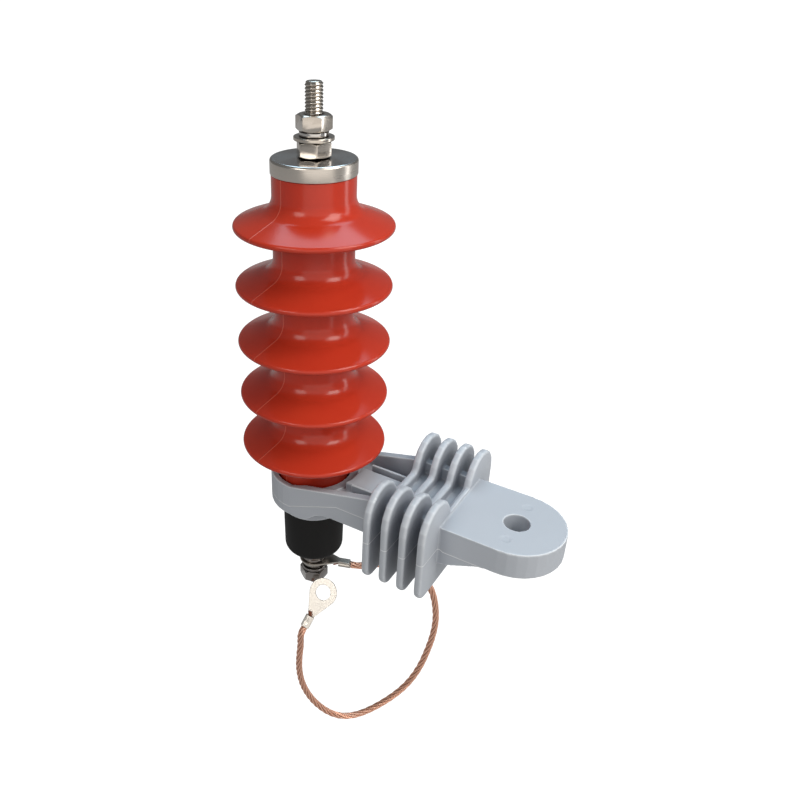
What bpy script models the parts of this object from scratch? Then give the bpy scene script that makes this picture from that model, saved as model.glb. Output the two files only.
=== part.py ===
"""Distribution surge arrester on an insulating bracket, with a disconnector and an earth lead.

Metres, +Z up. The origin lies on the top face of the bracket's bolting pad, on the centreline
beside the bolt hole. +X runs along the bracket away from the arrester, whose axis is upright.
"""
import math

import bmesh
import bpy
from mathutils import Matrix, Vector

MM = 0.001
COLLECTION = "surge_arrester"

# Fits and fineness
SEAT_GAP = 0.3 * MM
BOLT_CLEARANCE = 0.35 * MM
CUT_OVERRUN = 5.0 * MM
WELD = 0.01 * MM
TURN_STEPS = 36
SMALL_STEPS = 16
INNER_STEPS = 20
ARC_STEPS = 4
SMOOTH_ANGLE = math.radians(32)

# Bracket, all levels below the pad's top face
ARM_REACH = 137.0 * MM
SEAT_FROM_HOLE = 15.0 * MM
PAD_RADIUS = 28.0 * MM
PAD_THICK = 16.4 * MM
PAD_HOLE_RADIUS = 7.4 * MM
EJECTOR_RADIUS = 3.0 * MM
EJECTOR_DEPTH = 0.25 * MM
EJECTOR_OFFSET = 16.6 * MM
RIM_DROP = 13.9 * MM
RING_HEIGHT = 22.0 * MM
RING_BOTTOM_REACH = 9.0 * MM
SOCKET_DEPTH = 14.8 * MM
SOCKET_CLEARANCE = 1.4 * MM
COLLAR_RADIUS = 30.0 * MM
COLLAR_STEP = 1.0 * MM
BOSS_RADIUS = 22.0 * MM
BOSS_HEIGHT = 6.4 * MM
WALL_THICK = 5.0 * MM
WALL_RISE = 1.6 * MM
ARM_DROP = 25.9 * MM
UNDERCUT_REACH = 29.5 * MM
WEDGE_REACH = 28.0 * MM
LAND_WIDTH = 20.0 * MM
LAND_DROP = 8.7 * MM
LAND_START = 32.0 * MM
RIB_OFFSET = 12.0 * MM
RIB_THICK = 1.5 * MM
RIB_DROP = 6.4 * MM
RIB_START = 36.5 * MM
EDGE_ROUND = 1.1 * MM

# Fins across the bracket
FIN_COUNT = 4
FIN_START = 63.8 * MM
FIN_PITCH = 11.4 * MM
FIN_THICK = 4.6 * MM
FIN_LOBE_RADIUS = 16.9 * MM
FIN_LOBE_OFFSET = 30.1 * MM
FIN_FOOT_HALF_WIDTH = 46.8 * MM
FIN_FOOT_DROP = 42.5 * MM
FIN_CORNER = 7.0 * MM
FIN_WAIST_ROUND = 3.0 * MM
FIN_ROUND = 1.5 * MM
FIN_FLOOR_DROP = 6.2 * MM

# Silicone housing
STEM_RADIUS = 23.2 * MM
SHED_RADIUS = 45.0 * MM
SHED_COUNT = 5
SHED_FIRST = 37.6 * MM
SHED_LAST_FROM_TOP = 35.08 * MM
SHED_TIP_ROUND = 1.8 * MM
SHED_UNDER_RISE = 1.2 * MM
SHED_UNDER_FILLET = 2.5 * MM
SHED_SLOPE = math.radians(21)
SHED_ROOT_FILLET = 10.0 * MM
HOUSING_LENGTH = 211.4 * MM
HOUSING_CHAMFER = 0.8 * MM
THREAD_DEPTH = 22.0 * MM

# Cap
CAP_RADIUS = 23.7 * MM
CAP_HEIGHT = 8.2 * MM
CAP_WALL = 1.0 * MM
CAP_ROUND = 1.6 * MM

# Studs, nuts and washers (M10 throughout)
STUD_RADIUS = 4.85 * MM
STUD_CHAMFER = 1.2 * MM
LINE_STUD_RISE = 37.7 * MM
EARTH_STUD_DROP = 32.6 * MM
NUT_ACROSS_FLATS = 17.0 * MM
NUT_HEIGHT = 8.3 * MM
NUT_CHAMFER_ANGLE = math.radians(30)
NUT_CHAMFER_START = 8.0 * MM
THIN_NUT_HEIGHT = 6.0 * MM
WIDE_WASHER_RADIUS = 10.9 * MM
WASHER_RADIUS = 8.4 * MM
WASHER_THICK = 1.9 * MM
WASHER_ROUND = 0.3 * MM
SPRING_WASHER_RADIUS = 7.9 * MM
SPRING_WASHER_THICK = 2.2 * MM
FREE_WASHER_RISE = 1.9 * MM
FREE_WASHER_TURN = math.radians(346)
LOWER_NUT_TURN = math.radians(13.3)
UPPER_NUT_TURN = math.radians(26.4)
EARTH_NUT_TURN = math.radians(26.4)

# Disconnector
DISCONNECTOR_RADIUS = 20.3 * MM
DISCONNECTOR_FOOT_RADIUS = 19.8 * MM
DISCONNECTOR_HEIGHT = 36.8 * MM
DISCONNECTOR_SHOULDER = 5.0 * MM
DISCONNECTOR_WALL = 3.0 * MM
COVER_THICK = 3.0 * MM
CONTACT_RADIUS = 13.0 * MM
CONTACT_THICK = 1.6 * MM
RESISTOR_RADIUS = 12.0 * MM
RESISTOR_BORE = 5.6 * MM
RESISTOR_HEIGHT = 10.0 * MM
RESISTOR_CHAMFER = 0.8 * MM
CARTRIDGE_RADIUS = 4.2 * MM
CARTRIDGE_HEIGHT = 8.0 * MM
CARTRIDGE_CHAMFER = 1.0 * MM
STUD_HEAD_RADIUS = 12.5 * MM
STUD_HEAD_THICK = 4.0 * MM
STUD_HEAD_RECESS = 1.8 * MM

# Ring lugs and the lead between them
LUG_RING_RADIUS = 9.8 * MM
LUG_HOLE_RADIUS = 5.25 * MM
LUG_THICK = 1.4 * MM
LUG_NECK_WIDTH = 4.8 * MM
LUG_BARREL_START = 18.0 * MM
LUG_BARREL_END = 26.4 * MM
LUG_BARREL_HALF_WIDTH = 3.2 * MM
LUG_BARREL_HALF_HEIGHT = 2.1 * MM
LEAD_DIAMETER = 4.8 * MM
EARTH_LUG_TURN = math.radians(19.6)
FREE_LUG_CENTRE = Vector((-106.3, -12.1, -107.6)) * MM
FREE_LUG_HEADING = math.radians(77.0)
FREE_LUG_ELEVATION = math.radians(50.0)
FREE_LUG_ROLL = math.radians(-22.0)
LEAD_POINT_SPACING = 1.3
LEAD_STRAIGHT = 0.6

# The lead's route in millimetres, from the earth lug's barrel to the free lug's barrel
LEAD_ROUTE_MM = [
    (-86.6, 14.2, -92.6), (-78.8, 18.0, -90.1),
    (-68.6, 22.0, -89.9), (-59.5, 26.5, -92.9), (-52.7, 30.5, -98.4),
    (-47.7, 33.6, -106.5), (-44.5, 35.7, -116.7), (-42.6, 37.1, -129.1),
    (-41.8, 37.5, -141.6), (-42.5, 36.6, -155.3), (-44.6, 34.3, -170.0),
    (-47.5, 31.1, -184.4), (-51.9, 26.9, -197.6), (-58.0, 21.3, -208.9),
    (-65.7, 14.5, -218.4), (-75.2, 6.7, -227.1), (-83.9, -0.4, -231.9),
    (-92.4, -7.0, -232.1), (-99.9, -13.5, -225.8), (-106.2, -19.3, -215.4),
    (-111.0, -24.1, -202.8), (-113.9, -27.9, -188.1), (-114.5, -30.5, -172.4),
    (-113.4, -31.9, -157.3), (-112.3, -31.7, -145.4),
]

# Places that follow from the sizes above
AXIS_X = SEAT_FROM_HOLE - ARM_REACH
RIM_Z = -RIM_DROP
SOCKET_FLOOR_Z = RIM_Z - SOCKET_DEPTH
RING_BOTTOM_Z = RIM_Z - RING_HEIGHT
BOSS_BOTTOM_Z = RING_BOTTOM_Z - BOSS_HEIGHT
HOUSING_BASE_Z = SOCKET_FLOOR_Z + SEAT_GAP
HOUSING_TOP_Z = HOUSING_BASE_Z + HOUSING_LENGTH
CAP_TOP_Z = HOUSING_TOP_Z + SEAT_GAP + CAP_WALL
CAP_BOTTOM_Z = CAP_TOP_Z - CAP_HEIGHT
STUD_BORE = STUD_RADIUS + BOLT_CLEARANCE
SOCKET_RADIUS = STEM_RADIUS + SOCKET_CLEARANCE
CUP_TOP_Z = BOSS_BOTTOM_Z - SEAT_GAP
CUP_BOTTOM_Z = CUP_TOP_Z - DISCONNECTOR_HEIGHT
SHED_PITCH = (HOUSING_LENGTH - SHED_FIRST - SHED_LAST_FROM_TOP) / (SHED_COUNT - 1)


def clear_objects():
    """Remove every object that the file opened with."""
    for item in list(bpy.data.objects):
        bpy.data.objects.remove(item, do_unlink=True)


def new_collection(name):
    """Return a collection linked to the scene."""
    collection = bpy.data.collections.new(name)
    bpy.context.scene.collection.children.link(collection)
    return collection


clear_objects()
PARTS = new_collection(COLLECTION)
CUTTERS = new_collection(COLLECTION + "_cutters")


def make_material(name, colour, roughness, metallic=0.0):
    """Return a Principled material."""
    material = bpy.data.materials.new(name)
    material.use_nodes = True
    shader = material.node_tree.nodes["Principled BSDF"]
    shader.inputs["Base Color"].default_value = (*colour, 1.0)
    shader.inputs["Roughness"].default_value = roughness
    shader.inputs["Metallic"].default_value = metallic
    material.diffuse_color = (*colour, 1.0)
    return material


SILICONE = make_material("red_silicone", (0.56, 0.045, 0.02), 0.35)
BRACKET_GREY = make_material("grey_moulding", (0.36, 0.39, 0.43), 0.45)
STEEL = make_material("stainless_steel", (0.62, 0.6, 0.57), 0.22, 1.0)
BLACK = make_material("black_moulding", (0.012, 0.012, 0.013), 0.6)
COPPER = make_material("bare_copper", (0.72, 0.28, 0.16), 0.35, 1.0)
TIN = make_material("tinned_copper", (0.78, 0.75, 0.68), 0.28, 1.0)
OXIDE = make_material("zinc_oxide", (0.09, 0.09, 0.1), 0.55)
BRASS = make_material("brass", (0.72, 0.53, 0.25), 0.3, 1.0)
SPRING_STEEL = make_material("spring_steel", (0.35, 0.35, 0.37), 0.35, 1.0)


def link_mesh(name, mesh, material=None, collection=None):
    """Make an object of a mesh, with its material."""
    item = bpy.data.objects.new(name, mesh)
    (collection or PARTS).objects.link(item)
    if material:
        mesh.materials.append(material)
    return item


def mesh_from_bmesh(name, bm, material=None, collection=None):
    """Make an object of a bmesh and free it."""
    mesh = bpy.data.meshes.new(name)
    bm.to_mesh(mesh)
    bm.free()
    return link_mesh(name, mesh, material, collection)


def evaluated_mesh(item):
    """Return the mesh that an object has with its modifiers."""
    graph = bpy.context.evaluated_depsgraph_get()
    return bpy.data.meshes.new_from_object(item.evaluated_get(graph))


def bake(item):
    """Apply an object's modifiers to its own mesh."""
    mesh = evaluated_mesh(item)
    item.modifiers.clear()
    item.data = mesh
    return item


def as_cutter(item):
    """Move an object to the cutters, shown as wire and never rendered."""
    for collection in list(item.users_collection):
        collection.objects.unlink(item)
    CUTTERS.objects.link(item)
    item.hide_render = True
    item.display_type = "WIRE"
    return item


def smooth(item, angle=SMOOTH_ANGLE):
    """Shade an object smooth between faces that meet at less than the angle."""
    item.data.shade_smooth()
    item.data.set_sharp_from_angle(angle=angle)
    return item


def arc(centre_r, centre_z, radius, start, end, steps=ARC_STEPS):
    """Points of an arc in a profile's plane, both ends included, angles in radians."""
    points = []
    for step in range(steps + 1):
        angle = start + (end - start) * step / steps
        points.append((centre_r + radius * math.cos(angle), centre_z + radius * math.sin(angle)))
    return points


def turned(name, profile, material=None, steps=TURN_STEPS, closed=False, collection=None):
    """Turn a profile of (radius, height) about the upright axis through the object's origin.

    The profile runs down the outer side. An open one starts and ends on the axis.
    """
    mesh = bpy.data.meshes.new(name)
    count = len(profile)
    edges = [(index, index + 1) for index in range(count - 1)]
    if closed:
        edges.append((count - 1, 0))
    mesh.from_pydata([(radius, 0.0, height) for radius, height in profile], edges, [])
    item = link_mesh(name, mesh, material, collection)
    screw = item.modifiers.new("turn", "SCREW")
    screw.angle = math.tau
    screw.steps = steps
    screw.render_steps = steps
    screw.use_merge_vertices = True
    screw.merge_threshold = WELD
    return bake(item)


def turned_plain(name, radius, top, bottom, material=None, chamfer=0.0, bore=0.0,
                 steps=TURN_STEPS, collection=None):
    """A plain turned disc, rod or tube, its outer corners chamfered."""
    outer = [(radius - chamfer, top), (radius, top - chamfer), (radius, bottom + chamfer),
             (radius - chamfer, bottom)]
    if not chamfer:
        outer = [(radius, top), (radius, bottom)]
    if bore:
        return turned(name, outer + [(bore, bottom), (bore, top)], material, steps, True, collection)
    return turned(name, [(0.0, top)] + outer + [(0.0, bottom)], material, steps, False, collection)


def outline_solid(name, points, thickness, matrix, material=None, holes=(), collection=None):
    """Extrude a flat outline to a thickness, centred on its plane, and place it by a matrix."""
    curve = bpy.data.curves.new(name, "CURVE")
    curve.dimensions = "2D"
    curve.fill_mode = "BOTH"
    curve.extrude = thickness / 2
    for outline in (points, *holes):
        spline = curve.splines.new("POLY")
        spline.points.add(len(outline) - 1)
        for point, (across, along) in zip(spline.points, outline):
            point.co = (across, along, 0.0, 1.0)
        spline.use_cyclic_u = True
    drawn = bpy.data.objects.new(name + "_outline", curve)
    CUTTERS.objects.link(drawn)
    mesh = evaluated_mesh(drawn)
    bpy.data.objects.remove(drawn, do_unlink=True)
    mesh.transform(matrix)
    bm = bmesh.new()
    bm.from_mesh(mesh)
    bpy.data.meshes.remove(mesh)
    bmesh.ops.remove_doubles(bm, verts=bm.verts, dist=WELD)
    bmesh.ops.dissolve_limit(bm, angle_limit=math.radians(1), verts=bm.verts, edges=bm.edges)
    bmesh.ops.recalc_face_normals(bm, faces=bm.faces)
    return mesh_from_bmesh(name, bm, material, collection)


def block(name, low, high, material=None, collection=None):
    """A box between two corners."""
    bm = bmesh.new()
    bmesh.ops.create_cube(bm, size=1.0)
    centre = (Vector(low) + Vector(high)) / 2
    size = Vector(high) - Vector(low)
    bmesh.ops.scale(bm, vec=size, verts=bm.verts)
    bmesh.ops.translate(bm, vec=centre, verts=bm.verts)
    return mesh_from_bmesh(name, bm, material, collection)


def combine(item, other, operation):
    """Join, cut or intersect one object with another, and keep the other as a wire cutter."""
    boolean = item.modifiers.new(operation.lower(), "BOOLEAN")
    boolean.object = as_cutter(other)
    boolean.operation = operation
    boolean.solver = "EXACT"
    bake(item)
    bm = bmesh.new()
    bm.from_mesh(item.data)
    bmesh.ops.remove_doubles(bm, verts=bm.verts, dist=WELD)
    bmesh.ops.dissolve_degenerate(bm, edges=bm.edges, dist=WELD)
    bm.to_mesh(item.data)
    bm.free()
    return item


def cut(item, cutter):
    """Take a cutter's shape out of an object."""
    return combine(item, cutter, "DIFFERENCE")


def join(item, other):
    """Unite another shape with an object."""
    return combine(item, other, "UNION")


def trim(item, keeper):
    """Keep only what lies inside another shape."""
    return combine(item, keeper, "INTERSECT")


def round_edges(item, width, segments=2, angle=math.radians(40)):
    """Round an object's edges that are sharper than the angle."""
    bevel = item.modifiers.new("round", "BEVEL")
    bevel.width = width
    bevel.segments = segments
    bevel.limit_method = "ANGLE"
    bevel.angle_limit = angle
    bevel.use_clamp_overlap = True
    return bake(item)


def move(item, x=0.0, y=0.0, z=0.0):
    """Set an object's location."""
    item.location = (x, y, z)
    return item


def on_axis(item, z=0.0):
    """Place an object on the arrester's axis."""
    return move(item, AXIS_X, 0.0, z)


def hexagon_nut(name, height, turn, material=STEEL):
    """A hexagon nut standing on its local origin, chamfered at both ends."""
    corner_radius = NUT_ACROSS_FLATS / 2 / math.cos(math.pi / 6)
    bm = bmesh.new()
    bmesh.ops.create_cone(bm, cap_ends=True, segments=6, radius1=corner_radius,
                          radius2=corner_radius, depth=height)
    bmesh.ops.rotate(bm, verts=bm.verts, cent=(0, 0, 0), matrix=Matrix.Rotation(turn, 3, "Z"))
    bmesh.ops.translate(bm, verts=bm.verts, vec=(0, 0, height / 2))
    nut = mesh_from_bmesh(name, bm, material)
    drop = (corner_radius - NUT_CHAMFER_START) * math.tan(NUT_CHAMFER_ANGLE)
    reach = corner_radius + drop
    profile = [(0.0, height), (NUT_CHAMFER_START, height),
               (reach, height - (reach - NUT_CHAMFER_START) * math.tan(NUT_CHAMFER_ANGLE)),
               (reach, (reach - NUT_CHAMFER_START) * math.tan(NUT_CHAMFER_ANGLE)),
               (NUT_CHAMFER_START, 0.0), (0.0, 0.0)]
    trim(nut, turned(name + "_chamfer", profile, steps=SMALL_STEPS))
    cut(nut, turned_plain(name + "_bore", STUD_BORE, height + CUT_OVERRUN, -CUT_OVERRUN,
                          steps=SMALL_STEPS))
    return smooth(nut, math.radians(20))


def plain_washer(name, radius, material=STEEL):
    """A flat washer standing on its local origin."""
    washer = turned_plain(name, radius, WASHER_THICK, 0.0, material, WASHER_ROUND, STUD_BORE,
                          SMALL_STEPS)
    return smooth(washer)


def split_washer(name, rise, turn):
    """A split spring washer of square section, closed up or at its free height.

    A helix of one turn less the slit; the rise is what the ends are apart in height.
    """
    mesh = bpy.data.meshes.new(name)
    inner = STUD_BORE
    outer = SPRING_WASHER_RADIUS
    corners = [(inner, SPRING_WASHER_THICK), (outer, SPRING_WASHER_THICK), (outer, 0.0), (inner, 0.0)]
    verts = [(radius, 0.0, height) for radius, height in corners]
    mesh.from_pydata(verts, [(0, 1), (1, 2), (2, 3), (3, 0)], [])
    item = link_mesh(name, mesh, SPRING_STEEL)
    screw = item.modifiers.new("turn", "SCREW")
    screw.angle = FREE_WASHER_TURN
    screw.screw_offset = rise
    screw.steps = SMALL_STEPS
    screw.render_steps = SMALL_STEPS
    bake(item)
    bm = bmesh.new()
    bm.from_mesh(item.data)
    bmesh.ops.holes_fill(bm, edges=[edge for edge in bm.edges if edge.is_boundary], sides=4)
    bmesh.ops.recalc_face_normals(bm, faces=bm.faces)
    bmesh.ops.rotate(bm, verts=bm.verts, cent=(0, 0, 0), matrix=Matrix.Rotation(turn, 3, "Z"))
    bm.to_mesh(item.data)
    bm.free()
    return smooth(item)


def shed_profile(rim_z):
    """One shed's outer line, from the stem above it, out round the rim and back to the stem.

    The top slopes up from a rounded tip into a hollow fillet at the stem. The underside is
    nearly flat, with a small fillet at the stem.
    """
    tip_r = SHED_RADIUS - SHED_TIP_ROUND
    slope_out = math.pi / 2 - SHED_SLOPE
    tip_top = arc(tip_r, rim_z, SHED_TIP_ROUND, slope_out, -math.pi / 2, ARC_STEPS - 1)
    # The slope's line is tangent to both the tip and the root fillet
    fillet_r = STEM_RADIUS + SHED_ROOT_FILLET
    normal_r = math.cos(slope_out)
    normal_z = math.sin(slope_out)
    reach = SHED_TIP_ROUND + SHED_ROOT_FILLET
    fillet_z = rim_z + (reach + (tip_r - fillet_r) * normal_r) / normal_z
    root = arc(fillet_r, fillet_z, SHED_ROOT_FILLET, math.pi, math.pi * 1.5 - SHED_SLOPE, ARC_STEPS)
    under_z = rim_z - SHED_TIP_ROUND + SHED_UNDER_RISE
    under = arc(STEM_RADIUS + SHED_UNDER_FILLET, under_z - SHED_UNDER_FILLET, SHED_UNDER_FILLET,
                math.pi / 2, math.pi, 1)
    return root + tip_top + under


def build_housing():
    """The silicone housing, moulded solid round its column: five sheds on a stem, with a neck for
    the cap and a hole in each end for a stud.
    """
    neck_radius = CAP_RADIUS - CAP_WALL - SEAT_GAP
    shoulder_z = CAP_BOTTOM_Z - SEAT_GAP - HOUSING_BASE_Z
    hole_top = HOUSING_LENGTH - THREAD_DEPTH
    profile = [(0.0, hole_top), (STUD_BORE, hole_top), (STUD_BORE, HOUSING_LENGTH),
               (neck_radius - HOUSING_CHAMFER, HOUSING_LENGTH),
               (neck_radius, HOUSING_LENGTH - HOUSING_CHAMFER), (neck_radius, shoulder_z),
               (STEM_RADIUS, shoulder_z)]
    for index in reversed(range(SHED_COUNT)):
        profile += shed_profile(SHED_FIRST + index * SHED_PITCH)
    profile += [(STEM_RADIUS, HOUSING_CHAMFER), (STEM_RADIUS - HOUSING_CHAMFER, 0.0),
                (STUD_BORE, 0.0), (STUD_BORE, THREAD_DEPTH), (0.0, THREAD_DEPTH)]
    housing = turned("shed_housing", profile, SILICONE)
    on_axis(smooth(housing), HOUSING_BASE_Z)


def build_cap():
    """A drawn cup pressed over the housing's neck, pierced for the line stud."""
    height = CAP_HEIGHT
    inside = CAP_RADIUS - CAP_WALL
    profile = [(STUD_BORE, height)]
    profile += arc(CAP_RADIUS - CAP_ROUND, height - CAP_ROUND, CAP_ROUND, math.pi / 2, 0.0)
    profile += [(CAP_RADIUS, 0.0), (inside, 0.0), (inside, height - CAP_WALL),
                (STUD_BORE, height - CAP_WALL)]
    cap = turned("top_cap", profile, STEEL, closed=True)
    on_axis(smooth(cap), CAP_BOTTOM_Z)


def stud(name, top, bottom, material=STEEL, top_end=True, bottom_end=True):
    """A plain-cored stud on the arrester's axis, chamfered at its free ends."""
    upper = STUD_CHAMFER if top_end else 0.0
    lower = STUD_CHAMFER if bottom_end else 0.0
    profile = [(0.0, top), (STUD_RADIUS - upper, top)]
    if upper:
        profile.append((STUD_RADIUS, top - upper))
    if lower:
        profile.append((STUD_RADIUS, bottom + lower))
    profile += [(STUD_RADIUS - lower, bottom), (0.0, bottom)]
    item = turned(name, profile, material, SMALL_STEPS)
    return on_axis(smooth(item))


def build_line_terminal():
    """The line stud, and on it the jam nut, flat washer, spring washer and terminal nut."""
    stud_foot = HOUSING_TOP_Z - THREAD_DEPTH + SEAT_GAP
    stud("line_stud", CAP_TOP_Z + LINE_STUD_RISE, stud_foot)
    level = CAP_TOP_Z + SEAT_GAP
    on_axis(hexagon_nut("line_jam_nut", NUT_HEIGHT, LOWER_NUT_TURN), level)
    level += NUT_HEIGHT + SEAT_GAP
    on_axis(plain_washer("line_flat_washer", WIDE_WASHER_RADIUS), level)
    level += WASHER_THICK + SEAT_GAP
    slit = math.tau - FREE_WASHER_TURN
    on_axis(split_washer("line_spring_washer", 0.0, slit), level)
    level += SPRING_WASHER_THICK + SEAT_GAP
    on_axis(hexagon_nut("line_terminal_nut", NUT_HEIGHT, UPPER_NUT_TURN), level)


def along_x(thickness_centre_x):
    """Matrix that stands an outline drawn in (across, up) square to the bracket at a place on X."""
    turn = Matrix(((0, 0, 1, 0), (1, 0, 0, 0), (0, 1, 0, 0), (0, 0, 0, 1)))
    return Matrix.Translation((thickness_centre_x, 0, 0)) @ turn


def along_y():
    """Matrix that stands an outline drawn in (along, up) in the bracket's plane of symmetry."""
    turn = Matrix(((1, 0, 0, 0), (0, 0, -1, 0), (0, 1, 0, 0), (0, 0, 0, 1)))
    return turn


def fin_outline():
    """One fin seen along the bracket: a low waist, a round lobe at each side and a square foot."""
    lobe_y = FIN_LOBE_OFFSET
    top = arc(lobe_y, 0.0, FIN_LOBE_RADIUS, math.pi, 0.0, ARC_STEPS * 2)
    inner_y = lobe_y - FIN_LOBE_RADIUS
    waist = arc(inner_y - FIN_WAIST_ROUND, FIN_WAIST_ROUND, FIN_WAIST_ROUND, -math.pi / 2, 0.0,
                ARC_STEPS // 2)
    lobe = [point for point in top if point[1] > FIN_WAIST_ROUND or point[0] > lobe_y]
    foot = arc(FIN_FOOT_HALF_WIDTH - FIN_CORNER, FIN_CORNER - FIN_FOOT_DROP, FIN_CORNER,
               0.0, -math.pi / 2)
    half = waist + lobe + foot
    mirrored = [(-across, up) for across, up in reversed(half)]
    return half + mirrored


def bracket_side_outline():
    """The arm's side view: ring, rising walls, level fin zone, pad, wedge and the ring's deep foot."""
    fins_end = AXIS_X + FIN_START + (FIN_COUNT - 1) * FIN_PITCH + FIN_THICK
    far = PAD_RADIUS + CUT_OVERRUN
    arm_under = -ARM_DROP
    pad_under = -PAD_THICK
    ring_foot = AXIS_X + RING_BOTTOM_REACH
    undercut_end = AXIS_X + UNDERCUT_REACH
    wedge_shares = [(0.0, 0.0), (0.25, 0.16), (0.6, 0.6), (0.85, 0.92), (1.0, 1.0)]
    undercut_shares = [(1.0, 1.0), (0.7, 0.92), (0.5, 0.72), (0.25, 0.3), (0.1, 0.08), (0.0, 0.0)]
    points = [(AXIS_X - far, RIM_Z), (AXIS_X, RIM_Z), (AXIS_X + FIN_START, WALL_RISE),
              (fins_end, WALL_RISE), (fins_end, 0.0), (SEAT_FROM_HOLE + far, 0.0),
              (SEAT_FROM_HOLE + far, pad_under)]
    for along, drop in reversed(wedge_shares):
        points.append((fins_end + WEDGE_REACH * along, arm_under + (pad_under - arm_under) * drop))
    for along, rise in undercut_shares:
        points.append((ring_foot + (undercut_end - ring_foot) * along,
                       RING_BOTTOM_Z + (arm_under - RING_BOTTOM_Z) * rise))
    points.append((AXIS_X - far, RING_BOTTOM_Z))
    return points


def stadium(half_width, start_x, end_x, steps=16):
    """Plan outline with round ends about two centres."""
    right = arc(end_x, 0.0, half_width, -math.pi / 2, math.pi / 2, steps)
    left = arc(start_x, 0.0, half_width, math.pi / 2, math.pi * 1.5, steps)
    return right + left


def build_bracket():
    """The insulating bracket, one moulding: ring with socket and boss, ribbed arm, fins and pad."""
    plan_height = PAD_THICK + RING_HEIGHT + RIM_DROP + CUT_OVERRUN * 2
    bracket = outline_solid("bracket", bracket_side_outline(), (PAD_RADIUS + CUT_OVERRUN) * 2,
                            along_y(), BRACKET_GREY)
    plan = outline_solid("bracket_plan", stadium(PAD_RADIUS, AXIS_X, SEAT_FROM_HOLE), plan_height * 2,
                         Matrix.Identity(4))
    trim(bracket, plan)

    # Trough between the walls, from the ring to the first fin and on between the fins
    inner = PAD_RADIUS - WALL_THICK
    fins_start = AXIS_X + FIN_START
    last_fin = fins_start + (FIN_COUNT - 1) * FIN_PITCH
    floor_z = RIM_Z - COLLAR_STEP
    trough_end = fins_start + FIN_THICK / 2
    cut(bracket, block("trough", (AXIS_X - CUT_OVERRUN, -inner, RIM_Z), (trough_end, inner, CUT_OVERRUN)))
    surround = block("collar_surround", (AXIS_X + CUT_OVERRUN, -inner, floor_z),
                     (trough_end, inner, CUT_OVERRUN))
    collar = turned_plain("collar", COLLAR_RADIUS, CUT_OVERRUN * 2, floor_z - CUT_OVERRUN)
    cut(surround, on_axis(collar))
    cut(bracket, surround)
    fin_floor = -FIN_FLOOR_DROP
    gaps = block("fin_floor", (fins_start + FIN_THICK / 2, -inner, fin_floor),
                 (last_fin + FIN_THICK / 2, inner, CUT_OVERRUN))
    cut(bracket, gaps)

    # Land and thin ribs along the trough
    land = block("land", (AXIS_X, -LAND_WIDTH / 2, floor_z - CUT_OVERRUN),
                 (fins_start + FIN_THICK / 2, LAND_WIDTH / 2, -LAND_DROP))
    round_edges(land, EDGE_ROUND)
    nose = turned_plain("land_nose", LAND_START, CUT_OVERRUN, floor_z - CUT_OVERRUN * 2)
    cut(land, on_axis(nose))
    join(bracket, land)
    for side in (-1, 1):
        rib_y = side * (RIB_OFFSET + RIB_THICK / 2)
        rib = block("rib", (AXIS_X + RIB_START, rib_y - RIB_THICK / 2, floor_z - CUT_OVERRUN),
                    (fins_start + FIN_THICK / 2, rib_y + RIB_THICK / 2, -RIB_DROP))
        join(bracket, rib)

    # Fins across the arm
    for index in range(FIN_COUNT):
        centre_x = fins_start + index * FIN_PITCH + FIN_THICK / 2
        fin = outline_solid("fin", fin_outline(), FIN_THICK, along_x(centre_x))
        round_edges(fin, FIN_ROUND, 3)
        join(bracket, fin)

    # Socket for the housing, boss below it, and the holes
    boss = turned_plain("boss", BOSS_RADIUS, RING_BOTTOM_Z + BOSS_HEIGHT / 2, BOSS_BOTTOM_Z)
    join(bracket, on_axis(boss))
    below = BOSS_BOTTOM_Z - CUT_OVERRUN
    socket = turned("socket", [(0.0, CUT_OVERRUN), (SOCKET_RADIUS, CUT_OVERRUN),
                               (SOCKET_RADIUS, SOCKET_FLOOR_Z), (STUD_BORE, SOCKET_FLOOR_Z),
                               (STUD_BORE, below), (0.0, below)])
    cut(bracket, on_axis(socket))
    bolt_hole = turned_plain("bolt_hole", PAD_HOLE_RADIUS, CUT_OVERRUN, -PAD_THICK - CUT_OVERRUN)
    cut(bracket, move(bolt_hole, SEAT_FROM_HOLE))
    for side in (-1, 1):
        mark = turned_plain("ejector_mark", EJECTOR_RADIUS, CUT_OVERRUN, -EJECTOR_DEPTH,
                            steps=SMALL_STEPS)
        cut(bracket, move(mark, SEAT_FROM_HOLE, side * EJECTOR_OFFSET))
    smooth(bracket)


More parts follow.
